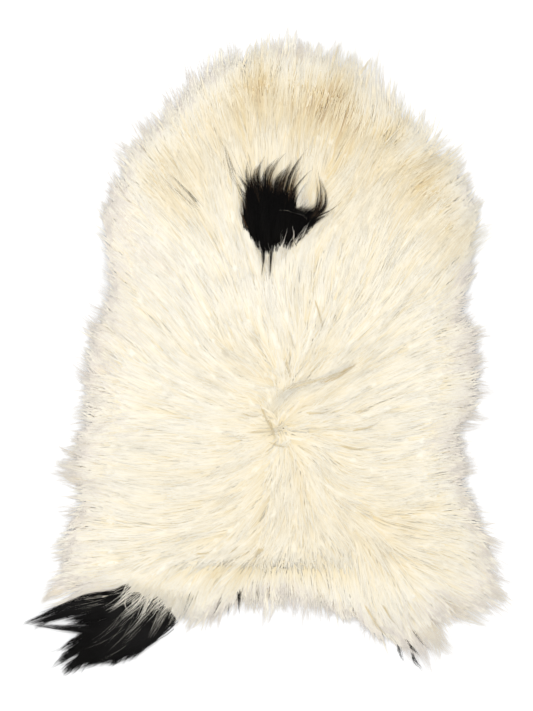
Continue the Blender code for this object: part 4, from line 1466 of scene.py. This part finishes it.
        ((269, 414), (292, 390), (330, 374), 40, 14.0, 0.6, 0.84),
        ((292, 392), (328, 376), (359, 359), 40, 14.0, 0.6, 0.84),
    ]),
    "rim_locks": (wool, {
        "Root Lift": -0.0010, "Tip Lift": 0.0030, "Softness": 0.9, "Levelling": 0.7,
        "Wave Height": 0.004,
    }, [
        ((420, 622), (436, 643), (441, 666), 60, 24.0, 0.45, 0.90),
        ((428, 628), (446, 646), (457, 658), 40, 20.0, 0.45, 0.92),
        ((450, 606), (476, 620), (493, 625), 60, 24.0, 0.45, 0.90),
        ((475, 588), (498, 598), (514, 604), 40, 16.0, 0.45, 0.92),
        ((250, 590), (252, 604), (250, 615), 40, 20.0, 0.5, 0.88),
        ((280, 592), (282, 604), (284, 614), 60, 26.0, 0.5, 0.88),
        ((315, 592), (318, 604), (322, 613), 50, 24.0, 0.5, 0.88),
        ((80, 470), (66, 466), (50, 461), 40, 7.0, 0.6, 0.90),
        ((80, 480), (66, 478), (56, 471), 30, 6.0, 0.6, 0.92),
        ((78, 455), (64, 450), (54, 442), 24, 8.0, 0.5, 0.95),
        ((278, 62), (280, 48), (284, 35), 24, 4.0, 0.6, 0.95),
        ((298, 60), (300, 46), (302, 34), 30, 8.0, 0.5, 0.95),
        ((332, 66), (336, 52), (341, 38), 24, 3.0, 0.6, 0.62),
        ((360, 74), (366, 64), (373, 56), 20, 3.0, 0.6, 0.70),
        ((350, 66), (351, 58), (353, 51), 16, 4.0, 0.5, 0.90),
        ((60, 590), (46, 598), (38, 604), 50, 12.0, 0.6, 0.93),
    ]),
}


# how the hairs of one lock differ; shares of the lock's spread, where nothing else is said
handLaid = {
    "aside": 0.42,
    "asideAtBend": 0.85,       # what is left of that farther out
    "asideAtTip": 0.35,
    "strayAtBend": 0.08,
    "strayAtTip": 0.10,
    "rootScatter": 0.006,      # metres along the lock
    "shorter": 0.5,            # hairs of one lock end one after another, by up to this share
    "shade": 0.015,
    "phase": 0.06,             # turns
    "layer": 0.0006,           # metres
    "girth": 0.2,
    "curl": 0.5,
    "widest": 1.2,             # millimetres, of which a hair's width is a share
    "quickLeast": 0.5,
}


def layLocks(name, fibre, values, locks, seed):
    random.seed(seed)
    rows = []
    for start, by, end, amount, spread, width, shade in locks:
        start, by, end = fromPixels([start, by, end])
        bend = 2 * by - (start + end) / 2
        way = (end - start) / np.linalg.norm(end - start)
        across = np.array([-way[1], way[0]]) * spread / 1000
        phase = random.random()
        for hair in range(max(2, int(amount * max(quickShare, handLaid["quickLeast"])))):
            aside = random.gauss(0, handLaid["aside"])
            full = 1.0 - handLaid["shorter"] * random.random()
            scatter = random.uniform(-handLaid["rootScatter"], handLaid["rootScatter"])
            root = start + across * aside + way * scatter
            stray = aside * handLaid["asideAtBend"] + random.gauss(0, handLaid["strayAtBend"])
            middle = start + (bend - start) * full + across * stray
            point = start * (1 - full) ** 2 + bend * 2 * full * (1 - full) + end * full ** 2
            stray = aside * handLaid["asideAtTip"] + random.gauss(0, handLaid["strayAtTip"])
            tip = point + across * stray
            ownShade = shade + random.gauss(0, handLaid["shade"])
            ownPhase = phase + random.gauss(0, handLaid["phase"])
            rows.append((root, middle, tip, ownShade, ownPhase, random.uniform(-1, 1),
                         width / handLaid["widest"]))
    starts, bends, tips, shades, phases, steps, girths = [np.array(column) for column in zip(*rows)]
    shades = np.clip(shades, *shadeEnds)
    carrier = newPiece(name + "Roots", [(*start, 0.0) for start in starts], [])
    writeAttributes(carrier, {
        "root": starts,
        "bend": bends,
        "tip": tips,
        "shade": shades,
        "tipShade": shades,
        "phase": phases,
        "layer": steps * handLaid["layer"],
        "girth": girths * (1.0 + handLaid["girth"] * steps),
        "curl": np.full(len(rows), handLaid["curl"]),
    })
    piece = growPiece(name, carrier, laidTree, {
        "Drape": drape, "Material": fibre, "Flatness": 0.4, "Points": 6,
        "Width": handLaid["widest"] / 1000, "Waves": 1.3, **values})
    bpy.data.objects.remove(carrier)
    return piece


for seed, (name, (fibre, values, locks)) in enumerate(laidLocks.items()):
    pieces[name] = layLocks(name, fibre, values, locks, seed + 5)
print("wool grown")

for name, piece in pieces.items():
    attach(piece, "root")
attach(fleeceBase, "root")
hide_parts("fleece")
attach(tuftBase, "root")
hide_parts("dark_leg_locks")
bpy.data.objects.remove(drape)

studio = {
    "floorSize": 8.0,
    "paper": (0.95, 0.95, 0.95, 1),
    "lampPlace": (-0.4, 0.3, 4.0),
    "lampSize": 2.4,
    "lampPower": 102.0,
    "sky": (1, 1, 1, 1),
    "skyStrength": 0.70,
    "cameraHeight": 6.0,       # over the wool's middle height, where the photograph's scale holds
    "middleHeight": 0.03,
    "sensorHeight": 24.0,      # millimetres
    "seenTo": 50.0,
}


def makeStudio():
    half = studio["floorSize"] / 2
    floor = newPiece("floor", [(-half, -half, 0), (half, -half, 0), (half, half, 0), (-half, half, 0)],
                     [(0, 1, 2, 3)])
    paper = newMaterial("studioPaper", {"Base Color": studio["paper"], "Roughness": 0.9})[0]
    floor.data.materials.append(paper)

    world = bpy.data.worlds.new("studioSky")
    world.use_nodes = True
    sky = world.node_tree.nodes["Background"].inputs
    sky["Color"].default_value = studio["sky"]
    sky["Strength"].default_value = studio["skyStrength"]
    bpy.context.scene.world = world

    lamp = bpy.data.lights.new("softBox", "AREA")
    lamp.size = studio["lampSize"]
    lamp.energy = studio["lampPower"]
    lampObject = placeInScene("softBox", lamp, studio["lampPlace"])
    lampObject.rotation_euler = (-lampObject.location).to_track_quat("-Z", "Y").to_euler()

    middle = fromPixel(photo["width"] / 2, photo["height"] / 2)
    view = bpy.data.cameras.new("photoView")
    view.sensor_fit = "VERTICAL"
    view.sensor_height = studio["sensorHeight"]
    tall = photo["height"] * photo["metresPerPixel"]
    view.lens = view.sensor_height * studio["cameraHeight"] / tall
    view.clip_end = studio["seenTo"]
    height = studio["cameraHeight"] + studio["middleHeight"]
    bpy.context.scene.camera = placeInScene("photoView", view, (*middle, height))
    bpy.context.scene.view_settings.view_transform = "Standard"


makeStudio()
print("studio set")
